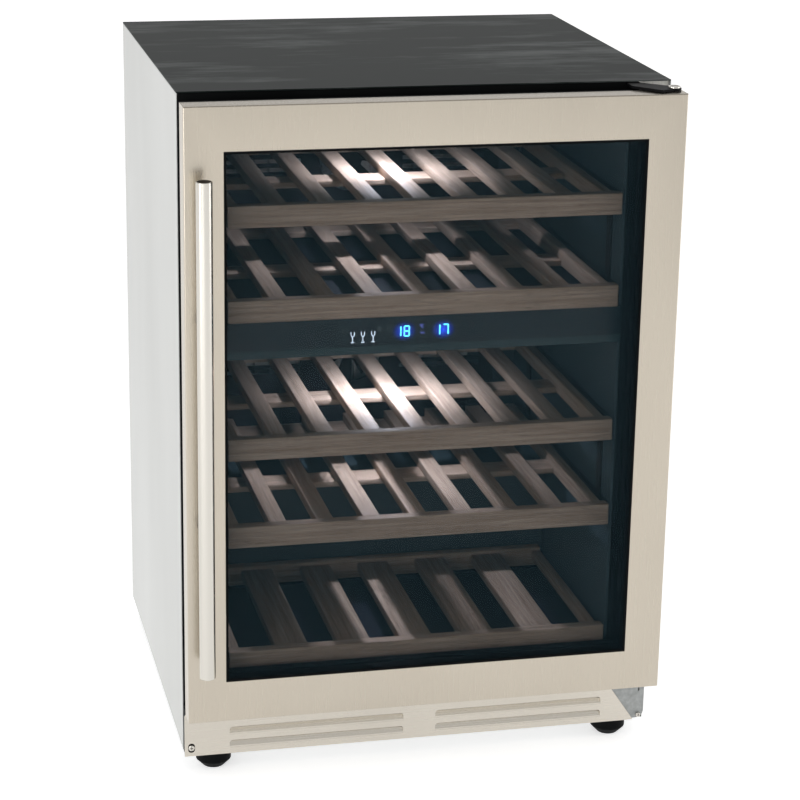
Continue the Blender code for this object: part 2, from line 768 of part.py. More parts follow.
def handle(mover):
    """A long open tube on two posts."""
    wall = 0.0015
    profile = (
        (HANDLE_R, HANDLE_SPAN[0]),
        (HANDLE_R, HANDLE_SPAN[1]),
        (HANDLE_R - wall, HANDLE_SPAN[1]),
        (HANDLE_R - wall, HANDLE_SPAN[0]),
    )
    bm = bmesh.new()
    add_turned(bm, profile, 32, (HANDLE_X, HANDLE_Y, 0), hollow=True)
    seat(mesh_object("handle_bar", bm), "polished_steel", mover, smooth=True)
    for place, z in POST_HEIGHTS.items():
        bm = bmesh.new()
        post = ((POST_R, HANDLE_Y + 0.005), (POST_R, -GAP))
        add_turned(bm, post, 20, (HANDLE_X, 0, z), axis="y")
        obj = mesh_object("handle_post_" + place, bm)
        saddle = bmesh.new()
        reach = HANDLE_R + GAP
        add_turned(saddle, ((reach, z - 0.02), (reach, z + 0.02)), 32, (HANDLE_X, HANDLE_Y, 0))
        cut(obj, saddle)
        seat(obj, "polished_steel", mover, smooth=True)


# ---------------------------------------------------------------- inside the cabinet
def fascia(name, span, mover=None):
    """A shelf's wooden front board."""
    depth = (SHELF_FRONT, SHELF_FRONT + FASCIA)
    block(name, both(FASCIA_HALF), depth, span, "beech", mover, bevel=0.0010)


def rack(name, top, bottom, slats, bars, back, mover=None):
    """Slats on cross bars between two side rails; bars are (front, back, bottom, top)."""
    front = SHELF_FRONT + FASCIA + GAP
    bm = bmesh.new()
    for x, width in slats:
        add_block(bm, (x - width / 2, x + width / 2), (front, back - 0.001), (top - SLAT_THICK, top))
    for side in (-1, 1):
        rail = sorted((side * RAIL_INNER, side * RAIL_OUTER))
        add_block(bm, rail, (front, back), (bottom, top))
    obj = mesh_object(name, bm)
    across = bmesh.new()
    for near, far, low, high in bars:
        add_block(across, both(RAIL_INNER + 0.0015), (near, far), (low, high))
    fuse(obj, across)
    seat(obj, "beech", mover)


def sliding_shelf(number, mover):
    span = FASCIA_SPANS[number]
    fascia("shelf_%d_front" % number, span, mover)
    top = span[1] - RACK_DROP
    low = top - RACK_HEIGHT + GAP
    high = top - SLAT_THICK + 0.0015
    slats = [(SLAT_PITCH * k, SLAT_WIDTH) for k in range(-3, 4)]
    front = SHELF_FRONT + FASCIA + 2 * GAP
    depths = ((front, FRONT_BAR_BACK), MIDDLE_BAR, (REAR_BAR_FRONT, RACK_BACK - GAP))
    bars = [(near, far, low, high) for near, far in depths]
    rack("shelf_%d_rack" % number, top, top - RACK_HEIGHT, slats, bars, RACK_BACK, mover)


def bottom_shelf():
    """The fixed lowest shelf: wide slats, a back board and rails that stand on the liner's floor."""
    fascia("bottom_shelf_front", BOTTOM_FASCIA)
    top = BOTTOM_FASCIA[1] - RACK_DROP
    slats = [(WIDE_SLAT_PITCH * k, WIDE_SLAT_WIDTH) for k in range(-2, 3)]
    low = top - RACK_HEIGHT + GAP
    front = SHELF_FRONT + FASCIA + 2 * GAP
    ledge = (front, FRONT_BAR_BACK, low, top - SLAT_THICK + 0.0015)
    board = (*BOTTOM_BOARD, *BOTTOM_FASCIA)
    rack("bottom_shelf_rack", top, LINER_FLOOR + GAP, slats, (ledge, board), BOTTOM_BOARD[0] + 0.006)


def runners(zone, numbers):
    """On each wall, one pair of runners joined by two uprights; each carries a rack's side rail."""
    ledge_inner = 0.2265
    channel_inner = RAIL_OUTER + 0.0008
    wall = LINER_HALF - GAP
    thick = 0.002
    span = (0.072, 0.478)
    upright_fronts = (0.100, 0.430)
    upright_width = 0.018
    under_top = 0.010
    for side, word in ((-1, "left"), (1, "right")):
        rails = bmesh.new()
        for number in numbers:
            top = FASCIA_SPANS[number][1] - RACK_DROP
            low = top - RACK_HEIGHT - GAP - thick
            outline = (
                (side * ledge_inner, low),
                (side * wall, low),
                (side * wall, top),
                (side * channel_inner, top),
                (side * channel_inner, low + thick),
                (side * ledge_inner, low + thick),
            )
            add_prism(rails, outline, "y", span)
        obj = mesh_object("runner_%s_%s" % (zone, word), rails)
        uprights = bmesh.new()
        tops = [FASCIA_SPANS[number][1] - RACK_DROP for number in numbers]
        x = sorted((side * (wall - thick), side * (wall - 0.0001)))
        z = (min(tops) - under_top, max(tops) - under_top)
        for y in upright_fronts:
            add_block(uprights, x, (y, y + upright_width), z)
        fuse(obj, uprights)
        seat(obj, "black_plastic")


PANEL_FRONT = 0.055
PANEL_THICK = 0.003
PANEL_STEP = 0.0006
STRIP_TOP = 0.5385
BOARD_X = (-0.105, 0.065)
BOARD_Z = (0.543, 0.564)
BOARD_DEPTH = (0.0615, 0.0631)
NUMERAL_MIDDLES = (-0.0265, 0.0220)
NUMERAL_HALF = 0.010
NUMERAL_Z = (0.5470, 0.5605)


def zone_divider():
    """The insulated wall between the two zones, pocketed for the display board."""
    bm = bmesh.new()
    front = PANEL_FRONT + PANEL_THICK + GAP
    add_block(bm, both(LINER_HALF - GAP), (front, LINER_BACK - 0.0005), DIVIDER)
    obj = mesh_object("zone_divider", bm)
    pocket = bmesh.new()
    room = 0.002
    x = (BOARD_X[0] - room, BOARD_X[1] + room)
    z = (BOARD_Z[0] - room, BOARD_Z[1] + room)
    add_block(pocket, x, (PANEL_FRONT, BOARD_DEPTH[1] + room), z)
    cut(obj, pocket)
    seat(obj, "liner_plastic")


def control_panel():
    """The dark touch panel, with a plain strip below its face."""
    low, high = PANEL_SPAN
    back = PANEL_FRONT + PANEL_THICK
    outline = (
        (PANEL_FRONT + PANEL_STEP, low),
        (back, low),
        (back, high),
        (PANEL_FRONT, high),
        (PANEL_FRONT, STRIP_TOP),
        (PANEL_FRONT + PANEL_STEP, STRIP_TOP),
    )
    bm = bmesh.new()
    add_prism(bm, outline, "x", both(LINER_HALF - GAP))
    seat(mesh_object("control_panel", bm), "black_gloss")


def display_board():
    """A circuit board with two numeral blocks facing the touch panel."""
    bm = bmesh.new()
    add_block(bm, BOARD_X, BOARD_DEPTH, BOARD_Z)
    obj = mesh_object("display_board", bm)
    blocks = bmesh.new()
    depth = (PANEL_FRONT + PANEL_THICK + 0.0008, BOARD_DEPTH[0] + 0.0005)
    for middle in NUMERAL_MIDDLES:
        add_block(blocks, (middle - NUMERAL_HALF, middle + NUMERAL_HALF), depth, NUMERAL_Z)
    fuse(obj, blocks)
    seat(obj, "board")


def lamps():
    """Each zone's lamp is a shallow strip let down from the surface above it."""
    width = 0.022
    tall = 0.007
    for zone, under, y in (("upper", LINER_CEILING, 0.215), ("lower", DIVIDER[0], 0.190)):
        span = (under - GAP - tall, under - GAP)
        block("lamp_" + zone, both(0.055), (y, y + width), span, "lamp_lens", bevel=0.0015)


def duct_cover(zone, span, fan_z):
    """The back panel of a zone, with a fan opening, a three-armed guard and outlet slots."""
    back = DUCT_FRONT + 0.002
    bore = 0.044
    boss = 0.014
    slot_x = (0.070, 0.185)
    slot_pitch = 0.012
    half_slot = 0.003
    bm = bmesh.new()
    add_prism(bm, rounded(both(0.205), span, 0.008), "y", (DUCT_FRONT, back))
    obj = mesh_object("duct_cover_" + zone, bm)
    through = (DUCT_FRONT - 0.01, back + 0.01)
    holes = bmesh.new()
    add_turned(holes, ((bore, through[0]), (bore, through[1])), 32, (0, 0, fan_z), axis="y")
    for side in (-1, 1):
        x = sorted((side * slot_x[0], side * slot_x[1]))
        for k in range(-2, 3):
            z = fan_z + slot_pitch * k
            add_block(holes, x, through, (z - half_slot, z + half_slot))
    cut(obj, holes)
    for k in range(3):
        turn = Matrix.Rotation(math.radians(90 + 120 * k), 4, "Y")
        arm = bmesh.new()
        add_block(arm, (boss - 0.004, bore + 0.002), (DUCT_FRONT + 0.0002, back - 0.0002), both(0.003))
        bmesh.ops.transform(arm, matrix=Matrix.Translation((0, 0, fan_z)) @ turn, verts=arm.verts)
        fuse(obj, arm)
    hub = bmesh.new()
    add_turned(hub, ((boss, DUCT_FRONT), (boss, back)), 24, (0, 0, fan_z), axis="y")
    fuse(obj, hub)
    seat(obj, "liner_plastic")


def evaporator(zone, span):
    """A finned aluminium plate behind the duct cover."""
    half = 0.170
    pitch = 0.020
    fin = 0.002
    plate = (0.5175, LINER_BACK - 0.0015)
    fins_front = 0.5070
    outline = [(-half, plate[1]), (-half, fins_front)]
    for k in range(int(2 * half / pitch)):
        x = -half + k * pitch
        outline += [(x + fin, fins_front), (x + fin, plate[0])]
        outline += [(x + pitch, plate[0]), (x + pitch, fins_front)]
    outline += [(half + fin, fins_front), (half + fin, plate[1])]
    bm = bmesh.new()
    add_prism(bm, outline, "z", span)
    seat(mesh_object("evaporator_" + zone, bm), "aluminium")


def fan_rotor(name, mover, tip, hub, depth, blades, chord, pitch):
    """A hub with flat pitched blades, turning about Y through the mover's place."""
    centre = mover.location
    bm = bmesh.new()
    add_turned(bm, ((hub, -depth / 2), (hub, depth / 2)), 24, centre, axis="y")
    obj = mesh_object(name, bm)
    fan = bmesh.new()
    root = hub * 0.75
    half = 0.0007
    for k in range(blades):
        blade = bmesh.new()
        outline = ((root, -chord[0] / 2), (root, chord[0] / 2), (tip, chord[1] / 2), (tip, -chord[1] / 2))
        add_prism(blade, outline, "y", both(half))
        tilt = Matrix.Rotation(math.radians(pitch), 4, "X")
        turn = Matrix.Rotation(2 * math.pi * k / blades, 4, "Y")
        bmesh.ops.transform(blade, matrix=Matrix.Translation(centre) @ turn @ tilt, verts=blade.verts)
        mesh = bpy.data.meshes.new("blade")
        blade.to_mesh(mesh)
        blade.free()
        fan.from_mesh(mesh)
        bpy.data.meshes.remove(mesh)
    fuse(obj, fan)
    seat(obj, "black_plastic", mover)


# ---------------------------------------------------------------- compressor bay
COMPRESSOR = (0.135, 0.478)
DOME_TOP = 0.180
PIPE_R = 0.003


def compressor():
    """A welded steel dome on a foot plate."""
    bm = bmesh.new()
    foot = PAN_TOP + GAP
    profile = (
        (0.046, foot + 0.002),
        (0.058, foot + 0.012),
        (0.060, foot + 0.040),
        (0.060, 0.100),
        (0.062, 0.103),
        (0.062, 0.109),
        (0.060, 0.112),
        (0.059, 0.140),
        (0.052, 0.162),
        (0.036, 0.175),
        (0.014, DOME_TOP),
    )
    add_turned(bm, profile, 32, (*COMPRESSOR, 0))
    obj = mesh_object("compressor", bm)
    plate = bmesh.new()
    x, y = COMPRESSOR
    outline = rounded((x - 0.068, x + 0.062), (y - 0.062, y + 0.062), 0.012)
    add_prism(plate, outline, "z", (foot, foot + 0.004))
    fuse(obj, plate)
    seat(obj, "compressor_paint", smooth=True)


def condenser():
    """A finned block with the pipe that comes to it from the compressor."""
    x = (-0.245, -0.080)
    front = 0.404
    back = 0.432
    root = back - 0.006
    bm = bmesh.new()
    outline = [(x[0], back), (x[0], front)]
    pitch = 0.0165
    fin = 0.002
    for k in range(int((x[1] - x[0]) / pitch)):
        left = x[0] + k * pitch
        outline += [(left + fin, front), (left + fin, root), (left + pitch, root), (left + pitch, front)]
    outline += [(x[1] + fin, front), (x[1] + fin, back)]
    add_prism(bm, outline, "z", (PAN_TOP + GAP, 0.200))
    obj = mesh_object("condenser", bm)
    route = (
        (x[1] - 0.002, back - 0.004, 0.185),
        (-0.050, back - 0.004, 0.185),
        (-0.020, 0.440, 0.180),
        (0.010, 0.462, 0.160),
        (0.030, 0.475, 0.130),
        (0.050, COMPRESSOR[1], 0.121),
        (COMPRESSOR[0] - 0.0605, COMPRESSOR[1], 0.120),
    )
    fuse(obj, tube(route, PIPE_R))
    seat(obj, "aluminium", smooth=True)


def tube(route, radius):
    """A round tube along a smooth curve through the route's points, with flat ends."""
    points = [Vector(point) for point in route]
    steps = 3
    sides = 10
    samples = []
    for i in range(len(points) - 1):
        before = points[max(i - 1, 0)]
        after = points[min(i + 2, len(points) - 1)]
        for k in range(steps):
            samples.append(catmull(before, points[i], points[i + 1], after, k / steps))
    samples.append(points[-1])
    bm = bmesh.new()
    rings = []
    side = Vector((0.31, 0.57, 0.76))
    for i, point in enumerate(samples):
        along = (samples[min(i + 1, len(samples) - 1)] - samples[max(i - 1, 0)]).normalized()
        side = (side - along * side.dot(along)).normalized()
        other = along.cross(side)
        circle = []
        for k in range(sides):
            angle = 2 * math.pi * k / sides
            offset = math.cos(angle) * side + math.sin(angle) * other
            circle.append(bm.verts.new(point + radius * offset))
        rings.append(circle)
    bm.faces.new(rings[0])
    bm.faces.new(rings[-1])
    for low, high in zip(rings, rings[1:]):
        for k in range(sides):
            m = (k + 1) % sides
            bm.faces.new((low[k], low[m], high[m], high[k]))
    return bm


def catmull(a, b, c, d, t):
    """A point between b and c on the smooth curve through a, b, c and d."""
    linear = (c - a) * t
    square = (2 * a - 5 * b + 4 * c - d) * t * t
    cube = (3 * b - a - 3 * c + d) * t ** 3
    return (2 * b + linear + square + cube) / 2


def refrigerant_pipe():
    """The suction line from the compressor up the foam's groove to both evaporators."""
    x, y = COMPRESSOR
    end = LINER_BACK - 0.0012
    top = PIPE_BRANCHES[1]
    route = (
        (x, y, DOME_TOP + 2 * GAP),
        (x, y, DOME_TOP + 0.008),
        (x, y, DOME_TOP + 0.018),
        (x, y + 0.018, DOME_TOP + 0.032),
        (x, PIPE_Y - 0.015, DOME_TOP + 0.036),
        (x, PIPE_Y, BAY_TOP),
        (x, PIPE_Y, 0.300),
        (x, PIPE_Y, 0.450),
        (x, PIPE_Y, 0.600),
        (x, PIPE_Y, top - 0.014),
        (x, PIPE_Y - 0.004, top - 0.004),
        (x, PIPE_Y - 0.013, top),
        (x, end, top),
    )
    obj = mesh_object("refrigerant_pipe", tube(route, PIPE_R))
    low = PIPE_BRANCHES[0]
    branch = ((x, PIPE_Y, low), (x, (PIPE_Y + end) / 2, low), (x, end, low))
    fuse(obj, tube(branch, PIPE_R - 0.0002))
    seat(obj, "copper", smooth=True)


def condenser_fan_housing():
    """A square shroud with a round opening and a motor cup on three arms behind the rotor."""
    cx, cz = COOLING_FAN
    half = 0.074
    bore_r = 0.064
    motor_r = 0.018
    front = 0.4325
    back = 0.4625
    bm = bmesh.new()
    add_prism(bm, rounded((cx - half, cx + half), (cz - half, cz + half), 0.008), "y", (front, back))
    obj = mesh_object("condenser_fan_housing", bm)
    bore = bmesh.new()
    add_turned(bore, ((bore_r, front - 0.01), (bore_r, back + 0.01)), 40, (cx, 0, cz), axis="y")
    cut(obj, bore)
    for k in range(3):
        arm = bmesh.new()
        add_block(arm, (motor_r - 0.008, bore_r + 0.003), (back - 0.005, back - 0.0002), both(0.004))
        turn = Matrix.Rotation(math.radians(30 + 120 * k), 4, "Y")
        bmesh.ops.transform(arm, matrix=Matrix.Translation((cx, 0, cz)) @ turn, verts=arm.verts)
        fuse(obj, arm)
    motor = bmesh.new()
    add_turned(motor, ((motor_r, back - 0.006), (motor_r, back)), 24, (cx, 0, cz), axis="y")
    fuse(obj, motor)
    seat(obj, "black_plastic")


def electrics():
    """The control box, and the recessed mains inlet in the back panel with its three pins."""
    box_z = (PAN_TOP + GAP, 0.128)
    block("control_box", (0.206, 0.276), (0.430, 0.518), box_z, "black_plastic", bevel=0.002)
    bm = bmesh.new()
    add_block(bm, INLET_X, (CASE_DEPTH - INLET_DEPTH, CASE_DEPTH), INLET_Z)
    obj = mesh_object("mains_inlet", bm)
    recess = bmesh.new()
    wall = 0.0015
    floor = CASE_DEPTH - 0.017
    x = (INLET_X[0] + wall, INLET_X[1] - wall)
    z = (INLET_Z[0] + wall, INLET_Z[1] - wall)
    add_prism(recess, rounded(x, z, 0.003), "y", (floor, CASE_DEPTH + 0.001))
    cut(obj, recess)
    pins = bmesh.new()
    half_x = 0.001
    half_z = 0.002
    for dx, dz in ((-0.007, -0.001), (0.0, 0.003), (0.007, -0.001)):
        middle_x = sum(INLET_X) / 2 + dx
        middle_z = sum(INLET_Z) / 2 + dz
        x = (middle_x - half_x, middle_x + half_x)
        z = (middle_z - half_z, middle_z + half_z)
        add_block(pins, x, (floor - 0.002, CASE_DEPTH - 0.004), z)
    fuse(obj, pins)
    seat(obj, "black_plastic")


# ---------------------------------------------------------------- feet
def foot(name, mover):
    """A tapered plastic foot on a threaded stud that passes through the base pan."""
    top = CASE_BOTTOM - GAP
    chamfer = 0.001
    profile = (
        (0.0130, 0.0000),
        (0.0140, 0.0010),
        (FOOT_R - 0.0008, 0.0085),
        (FOOT_R, 0.0105),
        (FOOT_R, top),
        (STUD_R, top),
        (STUD_R, STUD_TOP - chamfer),
        (STUD_R - chamfer, STUD_TOP),
    )
    bm = bmesh.new()
    add_turned(bm, profile, 20, mover.location)
    seat(mesh_object(name, bm), "black_plastic", mover, smooth=True)


# ---------------------------------------------------------------- assembly
clear_scene()
CABINET = empty("cabinet", (0.0, HANDLE_REACH - (CASE_DEPTH + HANDLE_REACH) / 2, 0.0))

side_panels()
top_cover()
back_panel()
base_pan()
insulation_foam()
inner_liner()
front_frame()

kick_plate()
cross_screw("kick_plate_screw", KICK_SCREW, KICK_SCREW_HEAD)
lower_hinge_bracket()
cross_screw("lower_hinge_screw", BRACKET_SCREW, BRACKET_SCREW_HEAD)
upper_hinge_bracket()
hinge_pins()

DOOR = empty("door_hinge", (HINGE_X, HINGE_Y, 0.0), CABINET)
door_skin(DOOR)
door_inner_frame(DOOR)
glazing(DOOR)
door_gasket(DOOR)
handle(DOOR)

for NUMBER in FASCIA_SPANS:
    sliding_shelf(NUMBER, empty("shelf_%d_slide" % NUMBER, (0.0, SHELF_FRONT, 0.0), CABINET))
bottom_shelf()
runners("upper", (1, 2))
runners("lower", (3, 4))

zone_divider()
control_panel()
display_board()
lamps()
duct_cover("upper", (0.590, 0.795), FAN_UPPER_Z)
duct_cover("lower", (0.290, 0.515), FAN_LOWER_Z)
evaporator("upper", (0.600, 0.780))
evaporator("lower", (0.300, 0.500))
for ZONE, HEIGHT_OF_FAN in (("upper", FAN_UPPER_Z), ("lower", FAN_LOWER_Z)):
    SPINDLE = empty("fan_%s_spin" % ZONE, (0.0, 0.4995, HEIGHT_OF_FAN), CABINET)
    fan_rotor("fan_rotor_" + ZONE, SPINDLE, 0.041, 0.013, 0.010, 7, (0.008, 0.018), 24)

compressor()
condenser()
condenser_fan_housing()
SPINDLE = empty("condenser_fan_spin", (COOLING_FAN[0], 0.4455, COOLING_FAN[1]), CABINET)
fan_rotor("condenser_fan_rotor", SPINDLE, 0.061, 0.018, 0.018, 5, (0.014, 0.034), 26)
refrigerant_pipe()
electrics()

for SIDE, X in (("left", -FOOT_X), ("right", FOOT_X)):
    for END, Y in (("front", FOOT_FRONT), ("rear", FOOT_REAR)):
        foot("foot_%s_%s" % (END, SIDE), empty("foot_%s_%s_turn" % (END, SIDE), (X, Y, 0.0), CABINET))
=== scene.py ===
"""The looks of the two-zone wine cooler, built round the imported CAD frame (metres, +Z up)."""
import math
import random

import bmesh
import bpy
from mathutils import Matrix, Vector


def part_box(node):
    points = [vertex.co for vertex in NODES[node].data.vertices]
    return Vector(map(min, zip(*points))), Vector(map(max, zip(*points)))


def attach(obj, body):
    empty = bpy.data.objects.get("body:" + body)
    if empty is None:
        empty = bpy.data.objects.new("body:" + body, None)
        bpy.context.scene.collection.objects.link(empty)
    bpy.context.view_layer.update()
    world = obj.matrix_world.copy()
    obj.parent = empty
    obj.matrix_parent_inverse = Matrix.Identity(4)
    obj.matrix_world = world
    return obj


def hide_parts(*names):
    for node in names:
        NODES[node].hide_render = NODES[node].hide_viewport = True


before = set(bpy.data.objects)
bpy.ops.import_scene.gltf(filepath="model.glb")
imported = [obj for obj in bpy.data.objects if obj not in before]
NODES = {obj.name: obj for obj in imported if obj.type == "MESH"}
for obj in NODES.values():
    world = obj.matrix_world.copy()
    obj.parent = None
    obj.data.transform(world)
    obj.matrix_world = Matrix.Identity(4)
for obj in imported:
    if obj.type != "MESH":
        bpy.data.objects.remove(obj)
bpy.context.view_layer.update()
GAP = 0.0003                    # between pieces that touch, as in the CAD
TURN = 2 * math.pi
PANEL_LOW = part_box("control_panel")[0]
STRIP_TOP = PANEL_LOW.z + 0.0095
LINER_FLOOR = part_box("bottom_shelf_rack")[0].z - GAP
# top of the painted shade at the foot of the liner's walls
PAINTED_SHADE_TOP = LINER_FLOOR + 0.010

STEEL_TONE = (0.505, 0.456, 0.382)
# painted reflection: the kick plate's steel is a lighter copy of the door's, for the bright floor it
# reflects
PLINTH_PAINTED_BRIGHT_TONE = (0.570, 0.532, 0.470)
# painted sheen: the louvre flaps' brighter tone stands for the light their up-facing faces reflect
LOUVRE_PAINTED_SHEEN = (0.82, 0.77, 0.68)
PANEL_BLACK = (0.014, 0.027, 0.036)
PANEL_STRIP = (0.038, 0.070, 0.080)
LINER_WALLS = (0.055, 0.088, 0.105)
# painted shade: near black for the liner's floor and the foot of its walls
LINER_PAINTED_SHADE = (0.010, 0.013, 0.024)
WHITE = (1.0, 1.0, 1.0)


# ---------------------------------------------------------------- materials
class Recipe:
    """A material in the making: one Principled shader and the nodes that feed it."""

    def __init__(self, name, colour, roughness, metallic=0.0, **sockets):
        self.material = bpy.data.materials.new(name)
        self.material.use_nodes = True
        self.tree = self.material.node_tree
        self.shader = self.tree.nodes["Principled BSDF"]
        self.shader.inputs["Base Color"].default_value = (*colour, 1.0)
        self.shader.inputs["Roughness"].default_value = roughness
        self.shader.inputs["Metallic"].default_value = metallic
        for socket, value in sockets.items():
            self.shader.inputs[socket.replace("_", " ")].default_value = value
        self.coords = self.add("ShaderNodeTexCoord").outputs["Object"]

    def add(self, kind, **settings):
        node = self.tree.nodes.new(kind)
        for name, value in settings.items():
            setattr(node, name, value)
        return node

    def link(self, source, socket):
        self.tree.links.new(source, socket)
        return self

    def shifted_by(self, attribute, stride):
        """Moves the pattern by a face value, so that each board shows its own piece of grain."""
        value = self.add("ShaderNodeAttribute", attribute_name=attribute).outputs["Fac"]
        scaled = self.add("ShaderNodeVectorMath", operation="SCALE")
        scaled.inputs[0].default_value = stride
        self.link(value, scaled.inputs["Scale"])
        moved = self.add("ShaderNodeVectorMath", operation="ADD")
        self.link(self.coords, moved.inputs[0])
        self.link(scaled.outputs[0], moved.inputs[1])
        self.coords = moved.outputs[0]
        return value

    def noise(self, scale, detail=3.0, roughness=0.55):
        """Noise with its own scale along each axis, in turns per metre."""
        mapping = self.add("ShaderNodeMapping")
        mapping.inputs["Scale"].default_value = scale
        self.link(self.coords, mapping.inputs["Vector"])
        noise = self.add("ShaderNodeTexNoise")
        noise.inputs["Scale"].default_value = 1.0
        noise.inputs["Detail"].default_value = detail
        noise.inputs["Roughness"].default_value = roughness
        self.link(mapping.outputs[0], noise.inputs["Vector"])
        return noise.outputs["Fac"]

    def falloff(self, centre, reach):
        """1 at a place, fading to 0 at `reach` from it, in metres along each axis."""
        mapping = self.add("ShaderNodeMapping")
        mapping.inputs["Scale"].default_value = [1 / r for r in reach]
        mapping.inputs["Location"].default_value = [-c / r for c, r in zip(centre, reach)]
        self.link(self.coords, mapping.inputs["Vector"])
        fade = self.add("ShaderNodeTexGradient", gradient_type="QUADRATIC_SPHERE")
        self.link(mapping.outputs[0], fade.inputs["Vector"])
        return fade.outputs["Fac"]

    def height(self, low, high):
        """0 at height `low` to 1 at height `high`."""
        parts = self.add("ShaderNodeSeparateXYZ")
        self.link(self.coords, parts.inputs[0])
        span = self.add("ShaderNodeMapRange")
        span.inputs["From Min"].default_value = low
        span.inputs["From Max"].default_value = high
        self.link(parts.outputs["Z"], span.inputs["Value"])
        return span.outputs[0]

    def lean(self, low, high):
        """0 where the surface is upright to 1 where it faces up, by its normal's rise."""
        parts = self.add("ShaderNodeSeparateXYZ")
        self.link(self.add("ShaderNodeNewGeometry").outputs["Normal"], parts.inputs[0])
        span = self.add("ShaderNodeMapRange")
        span.inputs["From Min"].default_value = low
        span.inputs["From Max"].default_value = high
        self.link(parts.outputs["Z"], span.inputs["Value"])
        return span.outputs[0]

    def mixed(self, share, source, colour):
        """A colour source, and a plain colour where `share` is 1."""
        node = self.add("ShaderNodeMix", data_type="RGBA")
        first, second, result = 6, 7, 2    # the node's own numbers for its colour sockets
        self.link(share, node.inputs["Factor"])
        self.link(source, node.inputs[first])
        node.inputs[second].default_value = (*colour, 1.0)
        return node.outputs[result]

    def math(self, operation, first, second):
        node = self.add("ShaderNodeMath", operation=operation)
        for socket, value in zip(node.inputs, (first, second)):
            if isinstance(value, (int, float)):
                socket.default_value = value
            else:
                self.link(value, socket)
        return node.outputs[0]

    def ramp(self, value, *stops):
        """Colour or value stops as (place, grey or colour)."""
        node = self.add("ShaderNodeValToRGB")
        elements = node.color_ramp.elements
        while len(elements) < len(stops):
            elements.new(0.5)
        for element, (place, colour) in zip(elements, stops):
            element.position = place
            if isinstance(colour, (int, float)):
                colour = (colour, colour, colour)
            element.color = (*colour, 1.0)
        self.link(value, node.inputs[0])
        return node.outputs[0]

    def colour(self, source):
        return self.link(source, self.shader.inputs["Base Color"])

    def rough(self, source, low, high):
        node = self.add("ShaderNodeMapRange")
        node.inputs["To Min"].default_value = low
        node.inputs["To Max"].default_value = high
        self.link(source, node.inputs["Value"])
        return self.link(node.outputs[0], self.shader.inputs["Roughness"])

    def bump(self, height, strength, distance):
        node = self.add("ShaderNodeBump")
        node.inputs["Strength"].default_value = strength
        node.inputs["Distance"].default_value = distance
        self.link(height, node.inputs["Height"])
        return self.link(node.outputs[0], self.shader.inputs["Normal"])


def brushed_steel(name, grain, colour, flap_painted_sheen=None):
    """Stainless sheet; `grain` is the noise scale, long along the brushing.

    The optional last argument is a painted sheen: the brighter tone given to the pressed flaps, which
    lean back and face up, for the light they reflect.
    """
    recipe = Recipe(name, colour, 0.3, metallic=1.0)
    fine = recipe.noise(grain, detail=4.0)
    broad = recipe.noise((5.0, 5.0, 2.2), detail=2.0)
    tone = recipe.math("ADD", recipe.math("MULTIPLY", fine, 0.4), recipe.math("MULTIPLY", broad, 0.6))
    dark = tuple(c * 0.95 for c in colour)
    light = tuple(min(1.0, c * 1.05) for c in colour)
    flat_tone = recipe.ramp(tone, (0.32, dark), (0.68, light))
    # faces that lean back and face up, the louvre flaps, get the painted sheen tone
    recipe.colour(recipe.mixed(recipe.lean(0.20, 0.40), flat_tone, flap_painted_sheen) if flap_painted_sheen else flat_tone)
    recipe.rough(fine, 0.20, 0.32)
    recipe.bump(fine, 0.05, 0.0002)
    return recipe.material


def polished_steel():
    recipe = Recipe("polished_steel", (0.60, 0.575, 0.525), 0.16, metallic=1.0)
    grain = recipe.noise((500.0, 500.0, 14.0))
    recipe.rough(grain, 0.10, 0.24)
    recipe.bump(grain, 0.05, 0.0001)
    return recipe.material


def case_paint():
    """Satin silver-grey coating with a faint upright drift and a fine skin texture."""
    recipe = Recipe("case_paint", (0.60, 0.605, 0.59), 0.42, metallic=0.2)
    drift = recipe.noise((2.5, 2.5, 0.9), detail=3.0)
    recipe.colour(recipe.ramp(drift, (0.32, (0.49, 0.495, 0.48)), (0.68, (0.60, 0.605, 0.59))))
    skin = recipe.noise((900.0, 900.0, 900.0), detail=2.0)
    recipe.rough(drift, 0.36, 0.50)
    recipe.bump(skin, 0.06, 0.0002)
    return recipe.material


def top_paint():
    """Dark satin sheet with streaks that run from side to side: partly wipe marks and partly painted
    sheen, the uneven gloss painted into the base colour.
    """
    recipe = Recipe("top_paint", (0.05, 0.053, 0.052), 0.5)
    recipe.shader.inputs["Specular IOR Level"].default_value = 0.06
    streaks = recipe.noise((6.0, 34.0, 3.0), detail=8.0, roughness=0.66)
    clouds = recipe.noise((3.6, 7.0, 3.0), detail=6.0)
    # the streaks are partly wipe marks and partly painted sheen
    marks = recipe.math("MULTIPLY", streaks, clouds)
    tones = ((0.17, (0.010, 0.014, 0.013)), (0.24, (0.016, 0.021, 0.020)), (0.38, (0.115, 0.124, 0.122)))
    recipe.colour(recipe.ramp(marks, *tones))
    recipe.rough(marks, 0.42, 0.62)
    recipe.bump(recipe.noise((1100.0, 1100.0, 1100.0), detail=2.0), 0.04, 0.0002)
    return recipe.material


def zinc_plate():
    recipe = Recipe("zinc_plate", (0.30, 0.31, 0.305), 0.5, metallic=0.75)
    mottle = recipe.noise((160.0, 160.0, 160.0), detail=4.0)
    recipe.colour(recipe.ramp(mottle, (0.30, (0.25, 0.26, 0.255)), (0.70, (0.36, 0.37, 0.365))))
    recipe.rough(mottle, 0.42, 0.60)
    recipe.bump(mottle, 0.05, 0.0002)
    return recipe.material


def moulded(name, colour, roughness, texture=700.0, strength=0.12, **sockets):
    """Moulded plastic or rubber with a fine spark-eroded texture."""
    recipe = Recipe(name, colour, roughness, **sockets)
    grain = recipe.noise((texture, texture, texture), detail=2.0)
    broad = recipe.noise((14.0, 14.0, 14.0), detail=2.0)
    light = tuple(c * 1.25 + 0.001 for c in colour)
    recipe.colour(recipe.ramp(broad, (0.35, colour), (0.70, light)))
    recipe.rough(grain, roughness * 0.88, min(1.0, roughness * 1.12))
    recipe.bump(grain, strength, 0.0002)
    return recipe.material


